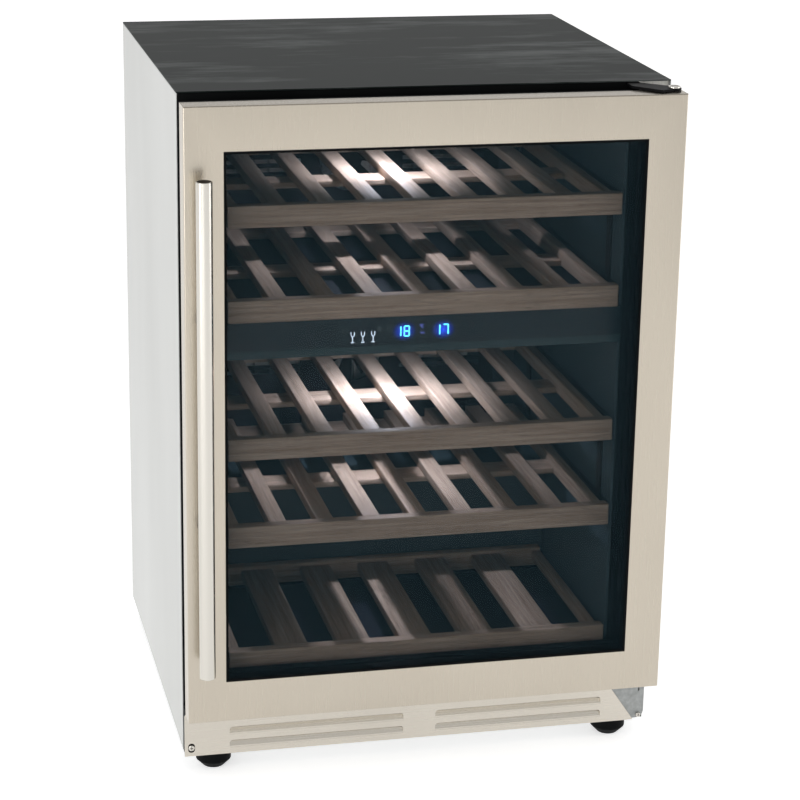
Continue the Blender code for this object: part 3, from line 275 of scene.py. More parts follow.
def beech(name, along):
    """Oiled beech; `along` is 0 for grain that runs in x, and 1 for y."""
    recipe = Recipe(name, (0.50, 0.38, 0.29), 0.55)
    tone = recipe.shifted_by("board", (3.7, 5.3, 2.9))

    def stretched(across, length):
        scale = [across, across, across]
        scale[along] = length
        return scale

    bands = recipe.noise(stretched(260.0, 7.0), detail=3.0)
    fibres = recipe.noise(stretched(640.0, 22.0), detail=2.0)
    flecks = recipe.noise(stretched(650.0, 90.0), detail=1.0)
    dark = (0.39, 0.285, 0.212)
    middle = (0.48, 0.362, 0.278)
    light = (0.57, 0.445, 0.350)
    base = recipe.ramp(bands, (0.34, dark), (0.50, middle), (0.66, light))
    grain = recipe.math("ADD", recipe.math("MULTIPLY", fibres, 0.60), 0.68)
    fleck = recipe.ramp(flecks, (0.60, 1.0), (0.72, 0.66))
    shade = recipe.math("MULTIPLY", grain, fleck)
    each = recipe.math("ADD", recipe.math("MULTIPLY", tone, 0.20), 0.88)
    scale = recipe.add("ShaderNodeVectorMath", operation="SCALE")
    recipe.link(base, scale.inputs[0])
    recipe.link(recipe.math("MULTIPLY", shade, each), scale.inputs["Scale"])
    recipe.colour(scale.outputs[0])
    recipe.rough(fibres, 0.46, 0.66)
    recipe.bump(fibres, 0.15, 0.0002)
    return recipe.material


def smoked_glass():
    recipe = Recipe("smoked_glass", (0.004, 0.010, 0.014), 0.03, Alpha=0.165)
    recipe.shader.inputs["Specular IOR Level"].default_value = 0.24
    recipe.shader.inputs["Specular Tint"].default_value = (0.50, 0.86, 1.0, 1.0)
    recipe.rough(recipe.noise((6.0, 6.0, 6.0), detail=2.0), 0.015, 0.04)
    return recipe.material


def touch_panel():
    """Near-black gloss, with a lighter plain strip along its bottom."""
    recipe = Recipe("touch_panel", PANEL_BLACK, 0.2)
    blur = 0.0002
    step = recipe.height(STRIP_TOP - blur, STRIP_TOP + blur)
    recipe.colour(recipe.ramp(step, (0.0, PANEL_STRIP), (1.0, PANEL_BLACK)))
    recipe.rough(recipe.noise((60.0, 60.0, 60.0)), 0.18, 0.22)
    return recipe.material


def liner_plastic():
    """Dark satin blue-grey; the floor and the walls' foot, up to a line 10 mm above the floor, are
    painted near black as shade.
    """
    recipe = Recipe("liner_plastic", LINER_WALLS, 0.5)
    blur = 0.004
    step = recipe.height(PAINTED_SHADE_TOP - blur, PAINTED_SHADE_TOP)
    recipe.colour(recipe.ramp(step, (0.0, LINER_PAINTED_SHADE), (1.0, LINER_WALLS)))
    recipe.rough(recipe.noise((60.0, 60.0, 60.0)), 0.45, 0.55)
    return recipe.material


def halo(name, colour, strength, centre, reach):
    """The glow that spreads in the panel round a lit numeral."""
    recipe = Recipe(name, PANEL_BLACK, 0.2)
    recipe.shader.inputs["Emission Color"].default_value = (*colour, 1.0)
    glow = recipe.math("MULTIPLY", recipe.falloff(centre, reach), strength)
    recipe.link(glow, recipe.shader.inputs["Emission Strength"])
    recipe.material.cycles.emission_sampling = "NONE"
    return recipe.material


def rigid_foam():
    recipe = Recipe("rigid_foam", (0.86, 0.85, 0.79), 0.9)
    cells = recipe.noise((420.0, 420.0, 420.0), detail=3.0)
    recipe.colour(recipe.ramp(cells, (0.30, (0.80, 0.78, 0.70)), (0.65, (0.90, 0.89, 0.84))))
    recipe.bump(cells, 0.4, 0.0004)
    return recipe.material


def glowing(name, colour, strength, base=(0.02, 0.02, 0.02)):
    recipe = Recipe(name, base, 0.4)
    recipe.shader.inputs["Emission Color"].default_value = (*colour, 1.0)
    recipe.shader.inputs["Emission Strength"].default_value = strength
    recipe.material.cycles.emission_sampling = "NONE"
    return recipe.material


def metal(name, colour, roughness):
    recipe = Recipe(name, colour, roughness, metallic=1.0)
    grain = recipe.noise((220.0, 220.0, 220.0), detail=3.0)
    recipe.rough(grain, roughness * 0.8, roughness * 1.3)
    recipe.bump(grain, 0.05, 0.0002)
    return recipe.material


STEEL = brushed_steel("brushed_steel", (1100.0, 1100.0, 16.0), STEEL_TONE)
PLINTH_STEEL_PAINTED_SHEEN = brushed_steel("plinth_steel_painted_sheen", (14.0, 1100.0, 1100.0), PLINTH_PAINTED_BRIGHT_TONE, flap_painted_sheen=LOUVRE_PAINTED_SHEEN)
POLISHED = polished_steel()
# painted shade: near-black steel inside the handle's bore and in the screws' cross recesses
BORE_PAINTED_SHADE = moulded("bore_painted_shade", (0.030, 0.022, 0.014), 0.7)
# painted shade: the handle posts are darkened so that they show as dark marks at the handle's ends
POST_PAINTED_SHADE = moulded("post_painted_shade", (0.10, 0.085, 0.07), 0.45, strength=0.02, metallic=0.6)
BLACK_STEEL = moulded("black_steel", (0.003, 0.003, 0.0035), 0.5, strength=0.03, Specular_IOR_Level=0.1)
ZINC = zinc_plate()
ALUMINIUM = metal("aluminium", (0.72, 0.73, 0.74), 0.36)
COPPER = metal("copper", (0.72, 0.38, 0.24), 0.32)
ENAMEL = moulded("black_enamel", (0.012, 0.012, 0.013), 0.28, texture=120.0, strength=0.04)
CASE = case_paint()
TOP = top_paint()
PLASTIC = moulded("black_plastic", (0.010, 0.010, 0.011), 0.45)
FRAME = moulded("frame_plastic", (0.0020, 0.0024, 0.0026), 0.6, strength=0.01, Specular_IOR_Level=0.06)
SPACER = moulded("spacer_bar", (0.0015, 0.0020, 0.0024), 0.6, strength=0.01, Specular_IOR_Level=0.05)
RUBBER = moulded(
    "seal_rubber", (0.006, 0.006, 0.006), 0.75, texture=500.0, strength=0.03, Specular_IOR_Level=0.1
)
LINER = liner_plastic()
DUCT = moulded("duct_plastic", (0.004, 0.007, 0.012), 0.6, texture=60.0, strength=0.01)
PANEL = touch_panel()
BOARD = moulded("circuit_board", (0.015, 0.10, 0.05), 0.45)
LENS = glowing("lamp_lens", (0.80, 0.90, 1.00), 6.0, base=(0.9, 0.9, 0.9))
BEECH_X = beech("beech_across", 0)
BEECH_Y = beech("beech_along", 1)
GLASS = smoked_glass()
FOAM = rigid_foam()


# ---------------------------------------------------------------- mesh helpers
SMOOTH = 30                     # edges under this angle are shaded smooth, in degrees
SMOOTH_TURNED = 32
SMOOTH_SOFT = 40


def finish_mesh(name, bm, materials, body, smooth=None):
    """Makes the piece and puts it on its body; edges under `smooth` degrees are shaded smooth."""
    bmesh.ops.recalc_face_normals(bm, faces=bm.faces)
    mesh = bpy.data.meshes.new(name)
    bm.to_mesh(mesh)
    bm.free()
    for material in materials:
        mesh.materials.append(material)
    obj = bpy.data.objects.new(name, mesh)
    bpy.context.scene.collection.objects.link(obj)
    if smooth is not None:
        mesh.shade_smooth()
        mesh.set_sharp_from_angle(angle=math.radians(smooth))
    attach(obj, body)
    return obj


def add_board(bm, low, high, round_over, index=0, tone=0.0, segments=3):
    """A board with rounded edges; `tone` is the face value that sets its grain and shade."""
    size = [b - a for a, b in zip(low, high)]
    middle = [(a + b) / 2 for a, b in zip(low, high)]
    layer = bm.faces.layers.float.get("board") or bm.faces.layers.float.new("board")
    place = Matrix.Translation(middle) @ Matrix.Diagonal((*size, 1.0))
    made = bmesh.ops.create_cube(bm, size=1.0, matrix=place)
    edges = list({edge for vert in made["verts"] for edge in vert.link_edges})
    before = set(bm.faces) - {face for vert in made["verts"] for face in vert.link_faces}
    bmesh.ops.bevel(bm, geom=edges, offset=round_over, segments=segments, profile=0.5, affect="EDGES")
    for face in set(bm.faces) - before:
        face.material_index = index
        face[layer] = tone


def add_lathe(bm, profile, centre, axis="z", segments=64, closed=False):
    """A turned solid from (radius, height) points; a closed profile makes a ring."""
    turn = Matrix.Rotation(-math.pi / 2, 3, "X") if axis == "y" else Matrix.Identity(3)
    rings = []
    for radius, height in profile:
        ring = []
        for k in range(segments):
            angle = TURN * k / segments
            point = Vector((radius * math.cos(angle), radius * math.sin(angle), height))
            ring.append(bm.verts.new(turn @ point + Vector(centre)))
        rings.append(ring)
    pairs = list(zip(rings, rings[1:]))
    if closed:
        pairs.append((rings[-1], rings[0]))
    else:
        bm.faces.new(rings[0])
        bm.faces.new(rings[-1])
    for low, high in pairs:
        for k in range(segments):
            m = (k + 1) % segments
            bm.faces.new((low[k], low[m], high[m], high[k]))


def add_frame(bm, profile, outer, inner=None):
    """A mitred rectangular ring from a closed profile of (share, inset, depth).

    `outer` and `inner` are (low, high) corners in (x, z). A point lies `share` of the way from the
    outer to the inner rectangle, and `inset` further in.
    """
    inner = inner or outer
    rings = []
    for share, inset, depth in profile:
        low = [a + (b - a) * share + inset for a, b in zip(outer[0], inner[0])]
        high = [a + (b - a) * share - inset for a, b in zip(outer[1], inner[1])]
        corners = ((low[0], low[1]), (high[0], low[1]), (high[0], high[1]), (low[0], high[1]))
        rings.append([bm.verts.new((x, depth, z)) for x, z in corners])
    for near, far in zip(rings, rings[1:] + rings[:1]):
        for k in range(4):
            m = (k + 1) % 4
            bm.faces.new((near[k], near[m], far[m], far[k]))


def paint(material, *names):
    """Gives CAD nodes a material."""
    for name in names:
        slots = NODES[name].data.materials
        slots.clear()
        slots.append(material)


# ---------------------------------------------------------------- door
def window_corners():
    """The window's (low, high) corners in (x, z): the outer pane runs 11 mm under the skin."""
    low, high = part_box("outer_glass")
    under = 0.011
    return (low.x + under, low.z + under), (high.x - under, high.z - under)


def bored(obj, places, radius):
    """Cuts upright round holes, given as (x, y, bottom, top)."""
    bm = bmesh.new()
    for x, y, bottom, top in places:
        add_lathe(bm, ((radius, bottom), (radius, top)), (x, y, 0), segments=48)
    bmesh.ops.recalc_face_normals(bm, faces=bm.faces)
    mesh = bpy.data.meshes.new("drill")
    bm.to_mesh(mesh)
    bm.free()
    drill = bpy.data.objects.new("drill", mesh)
    bpy.context.scene.collection.objects.link(drill)
    change = obj.modifiers.new("holes", "BOOLEAN")
    change.operation = "DIFFERENCE"
    change.solver = "EXACT"
    change.object = drill
    depsgraph = bpy.context.evaluated_depsgraph_get()
    result = bpy.data.meshes.new_from_object(obj.evaluated_get(depsgraph))
    obj.modifiers.clear()
    obj.data = result
    bpy.data.objects.remove(drill)


def make_skin():
    """The folded steel front with soft bends, a rolled window edge and holes for the two pins."""
    low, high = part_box("door_skin")
    sheet = 0.001
    bend = 0.0016
    lip = 0.0005
    roll = lip * 0.3
    steps = 5
    profile = [(0, 0, high.y)]
    for k in range(steps + 1):
        angle = math.pi / 2 * k / steps
        profile.append((0, bend * (1 - math.cos(angle)), low.y + bend * (1 - math.sin(angle))))
    profile += [(1, -lip, low.y), (1, -roll, low.y + roll), (1, 0, low.y + lip), (1, 0, low.y + sheet)]
    profile += [(0, bend, low.y + sheet), (0, sheet, low.y + bend), (0, sheet, high.y)]
    bm = bmesh.new()
    add_frame(bm, profile, ((low.x, low.z), (high.x, high.z)), window_corners())
    skin = finish_mesh("folded_skin", bm, [STEEL], "door")
    pin_low, pin_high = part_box("lower_hinge_pin")
    x = (pin_low.x + pin_high.x) / 2
    y = (pin_low.y + pin_high.y) / 2
    hole = 0.0044
    past = 0.003
    bored(skin, ((x, y, low.z - past, low.z + past), (x, y, high.z - past, high.z + past)), hole)
    skin.data.shade_smooth()
    skin.data.set_sharp_from_angle(angle=math.radians(SMOOTH))
    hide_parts("door_skin")


def make_painted_shade_ring():
    """A thin black ring of painted shade round the pane, inside the steel's window edge, for the shadow
    line there.
    """
    low, high = window_corners()
    edge = 0.0006
    inner = edge + 0.0024
    slope = 0.0003
    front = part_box("door_skin")[0].y + 0.0004
    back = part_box("outer_glass")[0].y - 0.0001
    bm = bmesh.new()
    profile = ((0, edge, back), (0, edge, front), (0, inner, front + slope), (0, inner, back))
    add_frame(bm, profile, (low, high))
    finish_mesh("window_painted_shade_ring", bm, [SPACER], "door")


def make_handle():
    """The open tube, with painted shade inside its bore, and its two posts."""
    low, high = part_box("handle_bar")
    centre_x = (low.x + high.x) / 2
    centre_y = (low.y + high.y) / 2
    radius = (high.x - low.x) / 2
    bore = radius - 0.0015
    rim = 0.0005
    profile = (
        (radius - rim, low.z),
        (radius, low.z + rim),
        (radius, high.z - rim),
        (radius - rim, high.z),
        (bore + rim / 2, high.z),
        (bore, high.z - rim),
        (bore, low.z + rim),
        (bore + rim / 2, low.z),
    )
    bm = bmesh.new()
    add_lathe(bm, profile, (centre_x, centre_y, 0), closed=True, segments=96)
    axis = Vector((centre_x, centre_y))
    inside = bore + rim
    # faces inside the bore take the painted shade
    for face in bm.faces:
        if (face.calc_center_median().xy - axis).length < inside:
            face.material_index = 1
    tube = finish_mesh("handle_tube", bm, [POLISHED, BORE_PAINTED_SHADE], "door", SMOOTH)
    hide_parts("handle_bar")
    for place in ("upper", "lower"):
        node = "handle_post_" + place
        low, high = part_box(node)
        z = (low.z + high.z) / 2
        post = (high.x - low.x) / 2
        front = centre_y + radius * 0.8    # just inside the bore, on the door's side
        edge = 0.0004
        profile = ((post, front), (post, high.y - edge), (post - edge, high.y))
        bm = bmesh.new()
        add_lathe(bm, profile, (centre_x, 0, z), axis="y", segments=48)
        stand = finish_mesh("handle_stand_" + place, bm, [POST_PAINTED_SHADE], "door", SMOOTH)
        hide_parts(node)


def make_gasket():
    """A bellows seal: foot, fold and magnet bulb, mitred at the corners.

    The profile's points are (inset from the outer edge, share of the seal's depth).
    """
    low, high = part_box("door_gasket")
    deep = high.y - low.y
    profile = (
        (0.0000, 0.00),
        (0.0000, 0.16),
        (0.0020, 0.22),
        (0.0045, 0.36),
        (0.0018, 0.50),
        (0.0018, 0.96),
        (0.0028, 1.00),
        (0.0165, 1.00),
        (0.0175, 0.96),
        (0.0175, 0.52),
        (0.0150, 0.36),
        (0.0180, 0.22),
        (0.0200, 0.16),
        (0.0200, 0.00),
    )
    bm = bmesh.new()
    points = [(0, inset, low.y + share * deep) for inset, share in profile]
    add_frame(bm, points, ((low.x, low.z), (high.x, high.z)))
    gasket = finish_mesh("bellows_gasket", bm, [RUBBER], "door", SMOOTH_SOFT)
    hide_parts("door_gasket")


# ---------------------------------------------------------------- shelves
EDGE = 0.0011                   # round-over of every board
SLAT_THICK = 0.012
RAIL_WIDTH = 0.0125
SLAT_COUNT, SLAT_PITCH, SLAT_WIDTH = 7, 0.0584, 0.0215
WIDE_COUNT, WIDE_PITCH, WIDE_WIDTH = 5, 0.079, 0.041
SLAT_SHORT = 0.001              # the slats end this far before the rails do
FRONT_BAR = 0.0147              # depth of the front cross bar
MIDDLE_BAR = (0.1727, 0.2107)   # the middle one, from the rack's front
REAR_BAR = 0.045                # depth of the rear one
LEDGE = 0.008                   # height of the bar under the bottom shelf's slats
RACK_DROP = 0.004               # the bottom slats lie this far under the top of their front board
BACK_BOARD = 0.015
BLOCK = 0.03                    # length of the blocks under the bottom rails
ALONG, ACROSS = 0, 1            # a rack's material slots, by the run of the grain


def board_tones(seed):
    """A source of face values, one for each board."""
    return random.Random(seed).random


def make_fascia(name, node, body, seed):
    low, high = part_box(node)
    bm = bmesh.new()
    add_board(bm, low, high, EDGE, tone=board_tones(seed)())
    board = finish_mesh(name, bm, [BEECH_X], body, SMOOTH_SOFT)
    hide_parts(node)


def add_slats(bm, count, pitch, width, front, back, top, tone):
    for k in range(count):
        x = pitch * (k - (count - 1) / 2)
        low = (x - width / 2, front, top - SLAT_THICK)
        add_board(bm, low, (x + width / 2, back, top), EDGE, ALONG, tone())


def add_cross_bar(bm, low, high, front, back, bottom, top, tone):
    """A bar between the rails of the rack whose box is `low` to `high`."""
    start = (low.x + RAIL_WIDTH + GAP, front, bottom)
    add_board(bm, start, (high.x - RAIL_WIDTH - GAP, back, top), EDGE, ACROSS, tone())


def make_sliding_rack(body, seed):
    """Slats on three cross bars, between two rails."""
    node = body + "_rack"
    low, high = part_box(node)
    tone = board_tones(seed)
    bm = bmesh.new()
    add_slats(bm, SLAT_COUNT, SLAT_PITCH, SLAT_WIDTH, low.y, high.y - SLAT_SHORT, high.z, tone)
    for x in (low.x, high.x - RAIL_WIDTH):
        add_board(bm, (x, low.y, low.z), (x + RAIL_WIDTH, high.y, high.z), EDGE, ALONG, tone())
    middle = [low.y + depth for depth in MIDDLE_BAR]
    for front, back in ((low.y, low.y + FRONT_BAR), middle, (high.y - REAR_BAR, high.y - GAP)):
        add_cross_bar(bm, low, high, front, back, low.z + GAP, high.z - SLAT_THICK, tone)
    rack = finish_mesh(body + "_slats", bm, [BEECH_Y, BEECH_X], body, SMOOTH_SOFT)
    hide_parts(node)


def make_bottom_rack():
    """Wide slats between a front ledge and a back board, on rails with a block to the floor."""
    low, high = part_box("bottom_shelf_rack")
    front_low, front_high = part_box("bottom_shelf_front")
    tone = board_tones(31)
    top = front_high.z - RACK_DROP
    under = top - SLAT_THICK
    back = high.y - BACK_BOARD - GAP
    bm = bmesh.new()
    add_slats(bm, WIDE_COUNT, WIDE_PITCH, WIDE_WIDTH, low.y, back, top, tone)
    for x in (low.x, high.x - RAIL_WIDTH):
        add_board(bm, (x, low.y, under), (x + RAIL_WIDTH, back, top), EDGE, ALONG, tone())
        block_high = (x + RAIL_WIDTH, low.y + BLOCK, under - GAP)
        add_board(bm, (x, low.y, low.z), block_high, EDGE, ALONG, tone())
    back_low = (low.x, high.y - BACK_BOARD, front_low.z)
    add_board(bm, back_low, (high.x, high.y, front_high.z), EDGE, ACROSS, tone())
    add_cross_bar(bm, low, high, low.y, low.y + FRONT_BAR, under - LEDGE, under, tone)
    rack = finish_mesh("bottom_slats", bm, [BEECH_Y, BEECH_X], "cabinet", SMOOTH_SOFT)
    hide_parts("bottom_shelf_rack")


def make_shelves():
    for number in range(1, 5):
        body = "shelf_%d" % number
        make_fascia(body + "_board", body + "_front", body, 10 + number)
        make_sliding_rack(body, 20 + number)
    make_fascia("bottom_board", "bottom_shelf_front", "cabinet", 15)
    make_bottom_rack()


# ---------------------------------------------------------------- touch panel
SEGMENTS = {
    "a": ((0.12, 1.0), (0.88, 1.0)),
    "b": ((1.0, 0.94), (1.0, 0.56)),
    "c": ((1.0, 0.44), (1.0, 0.06)),
    "d": ((0.12, 0.0), (0.88, 0.0)),
    "e": ((0.0, 0.44), (0.0, 0.06)),
    "f": ((0.0, 0.94), (0.0, 0.56)),
    "g": ((0.12, 0.5), (0.88, 0.5)),
}
DIGITS = {"1": "bc", "7": "abc", "8": "abcdefg"}
PRINT_RISE = 0.0002             # how far a mark stands off the panel
NUMERAL_BOTTOM = PANEL_LOW.z + 0.0206
NUMERAL_SIZE = (0.0060, 0.0122)
NUMERAL_STEP = 0.0103
NUMERAL_STROKE = 0.0017
NUMERAL_MIDDLE = 0.0102         # from the first digit's left to the middle of its glow
NUMERALS = (("upper", "18", -0.0362), ("lower", "17", 0.0118))
HALO_TONE = (0.02, 0.08, 1.0)
HALO_HALF = (0.0165, 0.0130)
HALO_REACH = (0.0165, 0.05, 0.0135)
HALO_STRENGTH = 2.4
ICON_ROW = PANEL_LOW.z + 0.0310
LIT_ICON_FOOT = PANEL_LOW.z + 0.0152
THIN, MEDIUM, THICK = 0.0005, 0.0006, 0.0008


def add_bar(bm, start, end, width, y):
    """A flat stroke between two (x, z) points, with pointed ends, standing off the panel."""
    a = Vector(start)
    b = Vector(end)
    along = (b - a).normalized() * width / 2
    side = Vector((-along.y, along.x))
    outline = [a - along, a + side, b + side, b + along, b - side, a - side]
    near = [bm.verts.new((p.x, y - PRINT_RISE, p.y)) for p in outline]
    far = [bm.verts.new((p.x, y - PRINT_RISE / 4, p.y)) for p in outline]
    bm.faces.new(near)
    bm.faces.new(far)
    for i in range(len(outline)):
        j = (i + 1) % len(outline)
        bm.faces.new((near[i], near[j], far[j], far[i]))


def add_stroke(bm, origin, points, width):
    """A broken line on the panel through (x, z) points, given from the icon's origin."""
    placed = [(origin[0] + x, origin[1] + z) for x, z in points]
    for start, end in zip(placed, placed[1:]):
        add_bar(bm, start, end, width, PANEL_LOW.y)


def arc(radius, start=0, end=360, steps=16):
    points = []
    for k in range(steps + 1):
        angle = math.radians(start + (end - start) * k / steps)
        points.append((radius * math.cos(angle), radius * math.sin(angle)))
    return points


def make_numerals(zone, text, left, glow):
    """Two seven-segment digits, and the window that glows round them."""
    wide, tall = NUMERAL_SIZE
    face = PANEL_LOW.y - PRINT_RISE
    bm = bmesh.new()
    for place, digit in enumerate(text):
        x = left + place * NUMERAL_STEP
        for segment in DIGITS[digit]:
            (ax, az), (bx, bz) = SEGMENTS[segment]
            start = (x + ax * wide, NUMERAL_BOTTOM + az * tall)
            add_bar(bm, start, (x + bx * wide, NUMERAL_BOTTOM + bz * tall), NUMERAL_STROKE, face)
    finish_mesh("numerals_" + zone, bm, [glow], "cabinet")
    middle = (left + NUMERAL_MIDDLE, PANEL_LOW.y, NUMERAL_BOTTOM + tall / 2)
    shine = halo("numeral_halo_" + zone, HALO_TONE, HALO_STRENGTH, middle, HALO_REACH)
    half_x, half_z = HALO_HALF
    clear = 0.00003
    edge = 0.00004
    low = (middle[0] - half_x, face, middle[2] - half_z)
    high = (middle[0] + half_x, PANEL_LOW.y - clear, middle[2] + half_z)
    bm = bmesh.new()
    add_board(bm, low, high, edge, segments=1)
    finish_mesh("numeral_window_" + zone, bm, [shine], "cabinet")


def make_unit_marks(glow):
    """The lit degree mark, its letter and a wave under them."""
    bm = bmesh.new()
    add_stroke(bm, (-0.0062, ICON_ROW + 0.0022), arc(0.0007, steps=8), THIN)
    add_stroke(bm, (-0.0030, ICON_ROW + 0.0010), arc(0.0019, 60, 300, 8), MEDIUM)
    wave = ((0.0, 0.0), (0.0016, -0.0015), (0.0032, 0.0), (0.0048, -0.0015))
    add_stroke(bm, (-0.0060, ICON_ROW - 0.0065), wave, 0.0007)
    finish_mesh("unit_marks", bm, [glow], "cabinet")


def make_lit_icons(glow):
    """Three small stemmed glasses in a row."""
    bowl = ((-0.0020, 0.0128), (-0.0019, 0.0088), (0.0, 0.0066), (0.0019, 0.0088), (0.0020, 0.0128))
    bm = bmesh.new()
    for x in (-0.0890, -0.0765, -0.0640):
        foot = (x, LIT_ICON_FOOT)
        add_stroke(bm, foot, bowl, THICK)
        add_stroke(bm, foot, ((0.0, 0.0064), (0.0, 0.0010)), THICK)
        add_stroke(bm, foot, ((-0.0020, 0.0), (0.0020, 0.0)), THICK)
    finish_mesh("lit_icons", bm, [glow], "cabinet")


def make_touch_icons(ink):
    """Printed marks that aren't lit: power, lamp, cup, unit key and three arrows."""
    bm = bmesh.new()
    power = (-0.0985, ICON_ROW - 0.0010)
    add_stroke(bm, power, arc(0.0030, 120, 420, 14), MEDIUM)
    add_stroke(bm, power, ((0.0, 0.0), (0.0, 0.0040)), MEDIUM)
    lamp = (-0.0560, ICON_ROW)
    add_stroke(bm, lamp, arc(0.0026), MEDIUM)
    add_stroke(bm, lamp, ((0.0, -0.0030), (0.0, 0.0030)), MEDIUM)
    cup = ((0.0, 0.0035), (0.0, -0.0035), (0.0035, -0.0035), (0.0035, 0.0035))
    add_stroke(bm, (-0.0465, ICON_ROW), cup, MEDIUM)
    unit = (0.0350, ICON_ROW)
    for x in (0.0, 0.0035):
        add_stroke(bm, unit, ((x, 0.0035), (x, -0.0020)), MEDIUM)
    add_stroke(bm, unit, ((0.0, 0.0008), (0.0035, 0.0008)), MEDIUM)
    for x, rise in ((0.0580, 0.0020), (0.0760, -0.0020), (0.0940, 0.0020)):
        add_stroke(bm, (x, ICON_ROW), ((-0.0030, -rise), (0.0, rise), (0.0030, -rise)), MEDIUM)
    finish_mesh("touch_icons", bm, [ink], "cabinet")


def make_display():
    blue = glowing("numeral_glow", (0.10, 0.62, 1.0), 5.0)
    for zone, text, left in NUMERALS:
        make_numerals(zone, text, left, blue)
    make_unit_marks(glowing("unit_glow", (0.20, 0.25, 1.0), 1.6))
    make_lit_icons(glowing("lit_icon", (0.70, 0.82, 1.0), 3.2))
    make_touch_icons(moulded("printed_icon", (0.11, 0.13, 0.14), 0.5))


# ---------------------------------------------------------------- small parts
def make_feet():
    """Four round feet with a bevelled sole, each on its threaded stud."""
    for end in ("front", "rear"):
        for side in ("left", "right"):
            node = "foot_%s_%s" % (end, side)
            low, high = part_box(node)
            centre = ((low.x + high.x) / 2, (low.y + high.y) / 2, 0)
            radius = (high.x - low.x) / 2
            top = 0.0277
            edge = 0.0008
            stud = 0.0050
            point = 0.001
            profile = (
                (0.0115, 0.0),
                (0.0130, 0.0005),
                (0.0140, 0.0014),
                (radius - 0.0012, 0.0085),
                (radius - 0.0002, 0.0096),
                (radius, 0.0108),
                (radius, top - edge),
                (radius - edge, top),
                (stud, top),
                (stud, high.z - point),
                (stud - point, high.z),
            )
            bm = bmesh.new()
            add_lathe(bm, profile, centre, segments=48)
            body = "levelling_" + node
            foot = finish_mesh(body, bm, [FRAME], body, SMOOTH_TURNED)
            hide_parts(node)


def make_screw(node):
    """A pan head on its shank; a thin dark cross of painted shade on the head stands for the recess."""
    low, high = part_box(node)
    x = (low.x + high.x) / 2
    z = (low.z + high.z) / 2
    head = (high.x - low.x) / 2
    deep = 0.0022
    shank = 0.0017
    point = 0.0012
    taper = 0.0006
    profile = (
        (point, high.y),
        (shank, high.y - taper),
        (shank, low.y + deep),
        (head, low.y + deep),
        (head, low.y + deep * 0.62),
        (head * 0.90, low.y + deep * 0.28),
        (head * 0.68, low.y + deep * 0.08),
        (head * 0.40, low.y),
    )
    bm = bmesh.new()
    add_lathe(bm, profile, (x, 0, z), axis="y", segments=48)
    long, short = head * 0.52, head * 0.11
    proud = 0.00004
    sunk = 0.0004
    edge = 0.00005
    # the dark cross is painted shade for the recess
    for wide, tall in ((long, short), (short, long)):
        arm_low = (x - wide, low.y - proud, z - tall)
        add_board(bm, arm_low, (x + wide, low.y + sunk, z + tall), edge, 1, segments=1)
    screw = finish_mesh("cross_" + node, bm, [POLISHED, BORE_PAINTED_SHADE], "cabinet", SMOOTH_TURNED)
    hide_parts(node)


def make_upper_pin():
    """The pin and its bright cap, dished on top."""
    low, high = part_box("upper_hinge_pin")
    centre = ((low.x + high.x) / 2, (low.y + high.y) / 2, 0)
    cap = (high.x - low.x) / 2
    shank = 0.004
    point = 0.001
    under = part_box("upper_hinge_bracket")[1].z + GAP
    profile = (
        (shank - point, low.z),
        (shank, low.z + point),
        (shank, under),
        (cap, under),
        (cap, high.z - 0.0006),
        (cap - 0.0002, high.z - 0.0002),
        (cap - 0.0008, high.z),
        (cap - 0.0022, high.z),
        (cap - 0.0028, high.z - 0.0005),
    )
    bm = bmesh.new()
    add_lathe(bm, profile, centre, segments=48)
    pin = finish_mesh("hinge_pin_cap", bm, [POLISHED], "cabinet", SMOOTH_TURNED)
    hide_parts("upper_hinge_pin")


# ---------------------------------------------------------------- pieces made here
make_skin()
make_painted_shade_ring()
make_handle()
make_gasket()
make_shelves()
make_display()
make_feet()
make_upper_pin()
make_screw("kick_plate_screw")
make_screw("lower_hinge_screw")

# ---------------------------------------------------------------- nodes that keep their CAD shape
paint(PLINTH_STEEL_PAINTED_SHEEN, "kick_plate")
paint(CASE, "side_panel_left", "side_panel_right", "back_panel")
paint(TOP, "top_cover")
paint(ZINC, "base_pan", "lower_hinge_bracket", "lower_hinge_pin")
paint(FRAME, "front_frame", "door_inner_frame")
paint(PLASTIC, "condenser_fan_housing", "condenser_fan_rotor")
paint(PLASTIC, "fan_rotor_upper", "fan_rotor_lower", "control_box", "mains_inlet")
paint(PLASTIC, "runner_upper_left", "runner_upper_right", "runner_lower_left", "runner_lower_right")
paint(BLACK_STEEL, "upper_hinge_bracket")
paint(SPACER, "glass_spacer")
paint(GLASS, "outer_glass", "inner_glass")
paint(FOAM, "insulation_foam")
paint(LINER, "inner_liner")
paint(DUCT, "zone_divider", "duct_cover_upper", "duct_cover_lower")
paint(PANEL, "control_panel")
paint(BOARD, "display_board")
paint(LENS, "lamp_upper", "lamp_lower")
paint(ALUMINIUM, "evaporator_upper", "evaporator_lower", "condenser")
paint(COPPER, "refrigerant_pipe")
paint(ENAMEL, "compressor")


# ---------------------------------------------------------------- stage, lights and camera
def make_floor():
    """A plain floor that glows a little, so that it stays white to the frame's edge."""
    bm = bmesh.new()
    reach = 14.0
    bmesh.ops.create_grid(bm, x_segments=1, y_segments=1, size=reach)
    mesh = bpy.data.meshes.new("floor")
    bm.to_mesh(mesh)
    bm.free()
    recipe = Recipe("floor_white", (0.93, 0.93, 0.93), 0.7)
    recipe.colour(recipe.ramp(recipe.noise((3.0, 3.0, 3.0)), (0.3, 0.92), (0.7, 0.94)))
    recipe.shader.inputs["Emission Color"].default_value = (*WHITE, 1.0)
    recipe.shader.inputs["Emission Strength"].default_value = 0.58
    mesh.materials.append(recipe.material)
    floor = bpy.data.objects.new("floor", mesh)
    bpy.context.scene.collection.objects.link(floor)


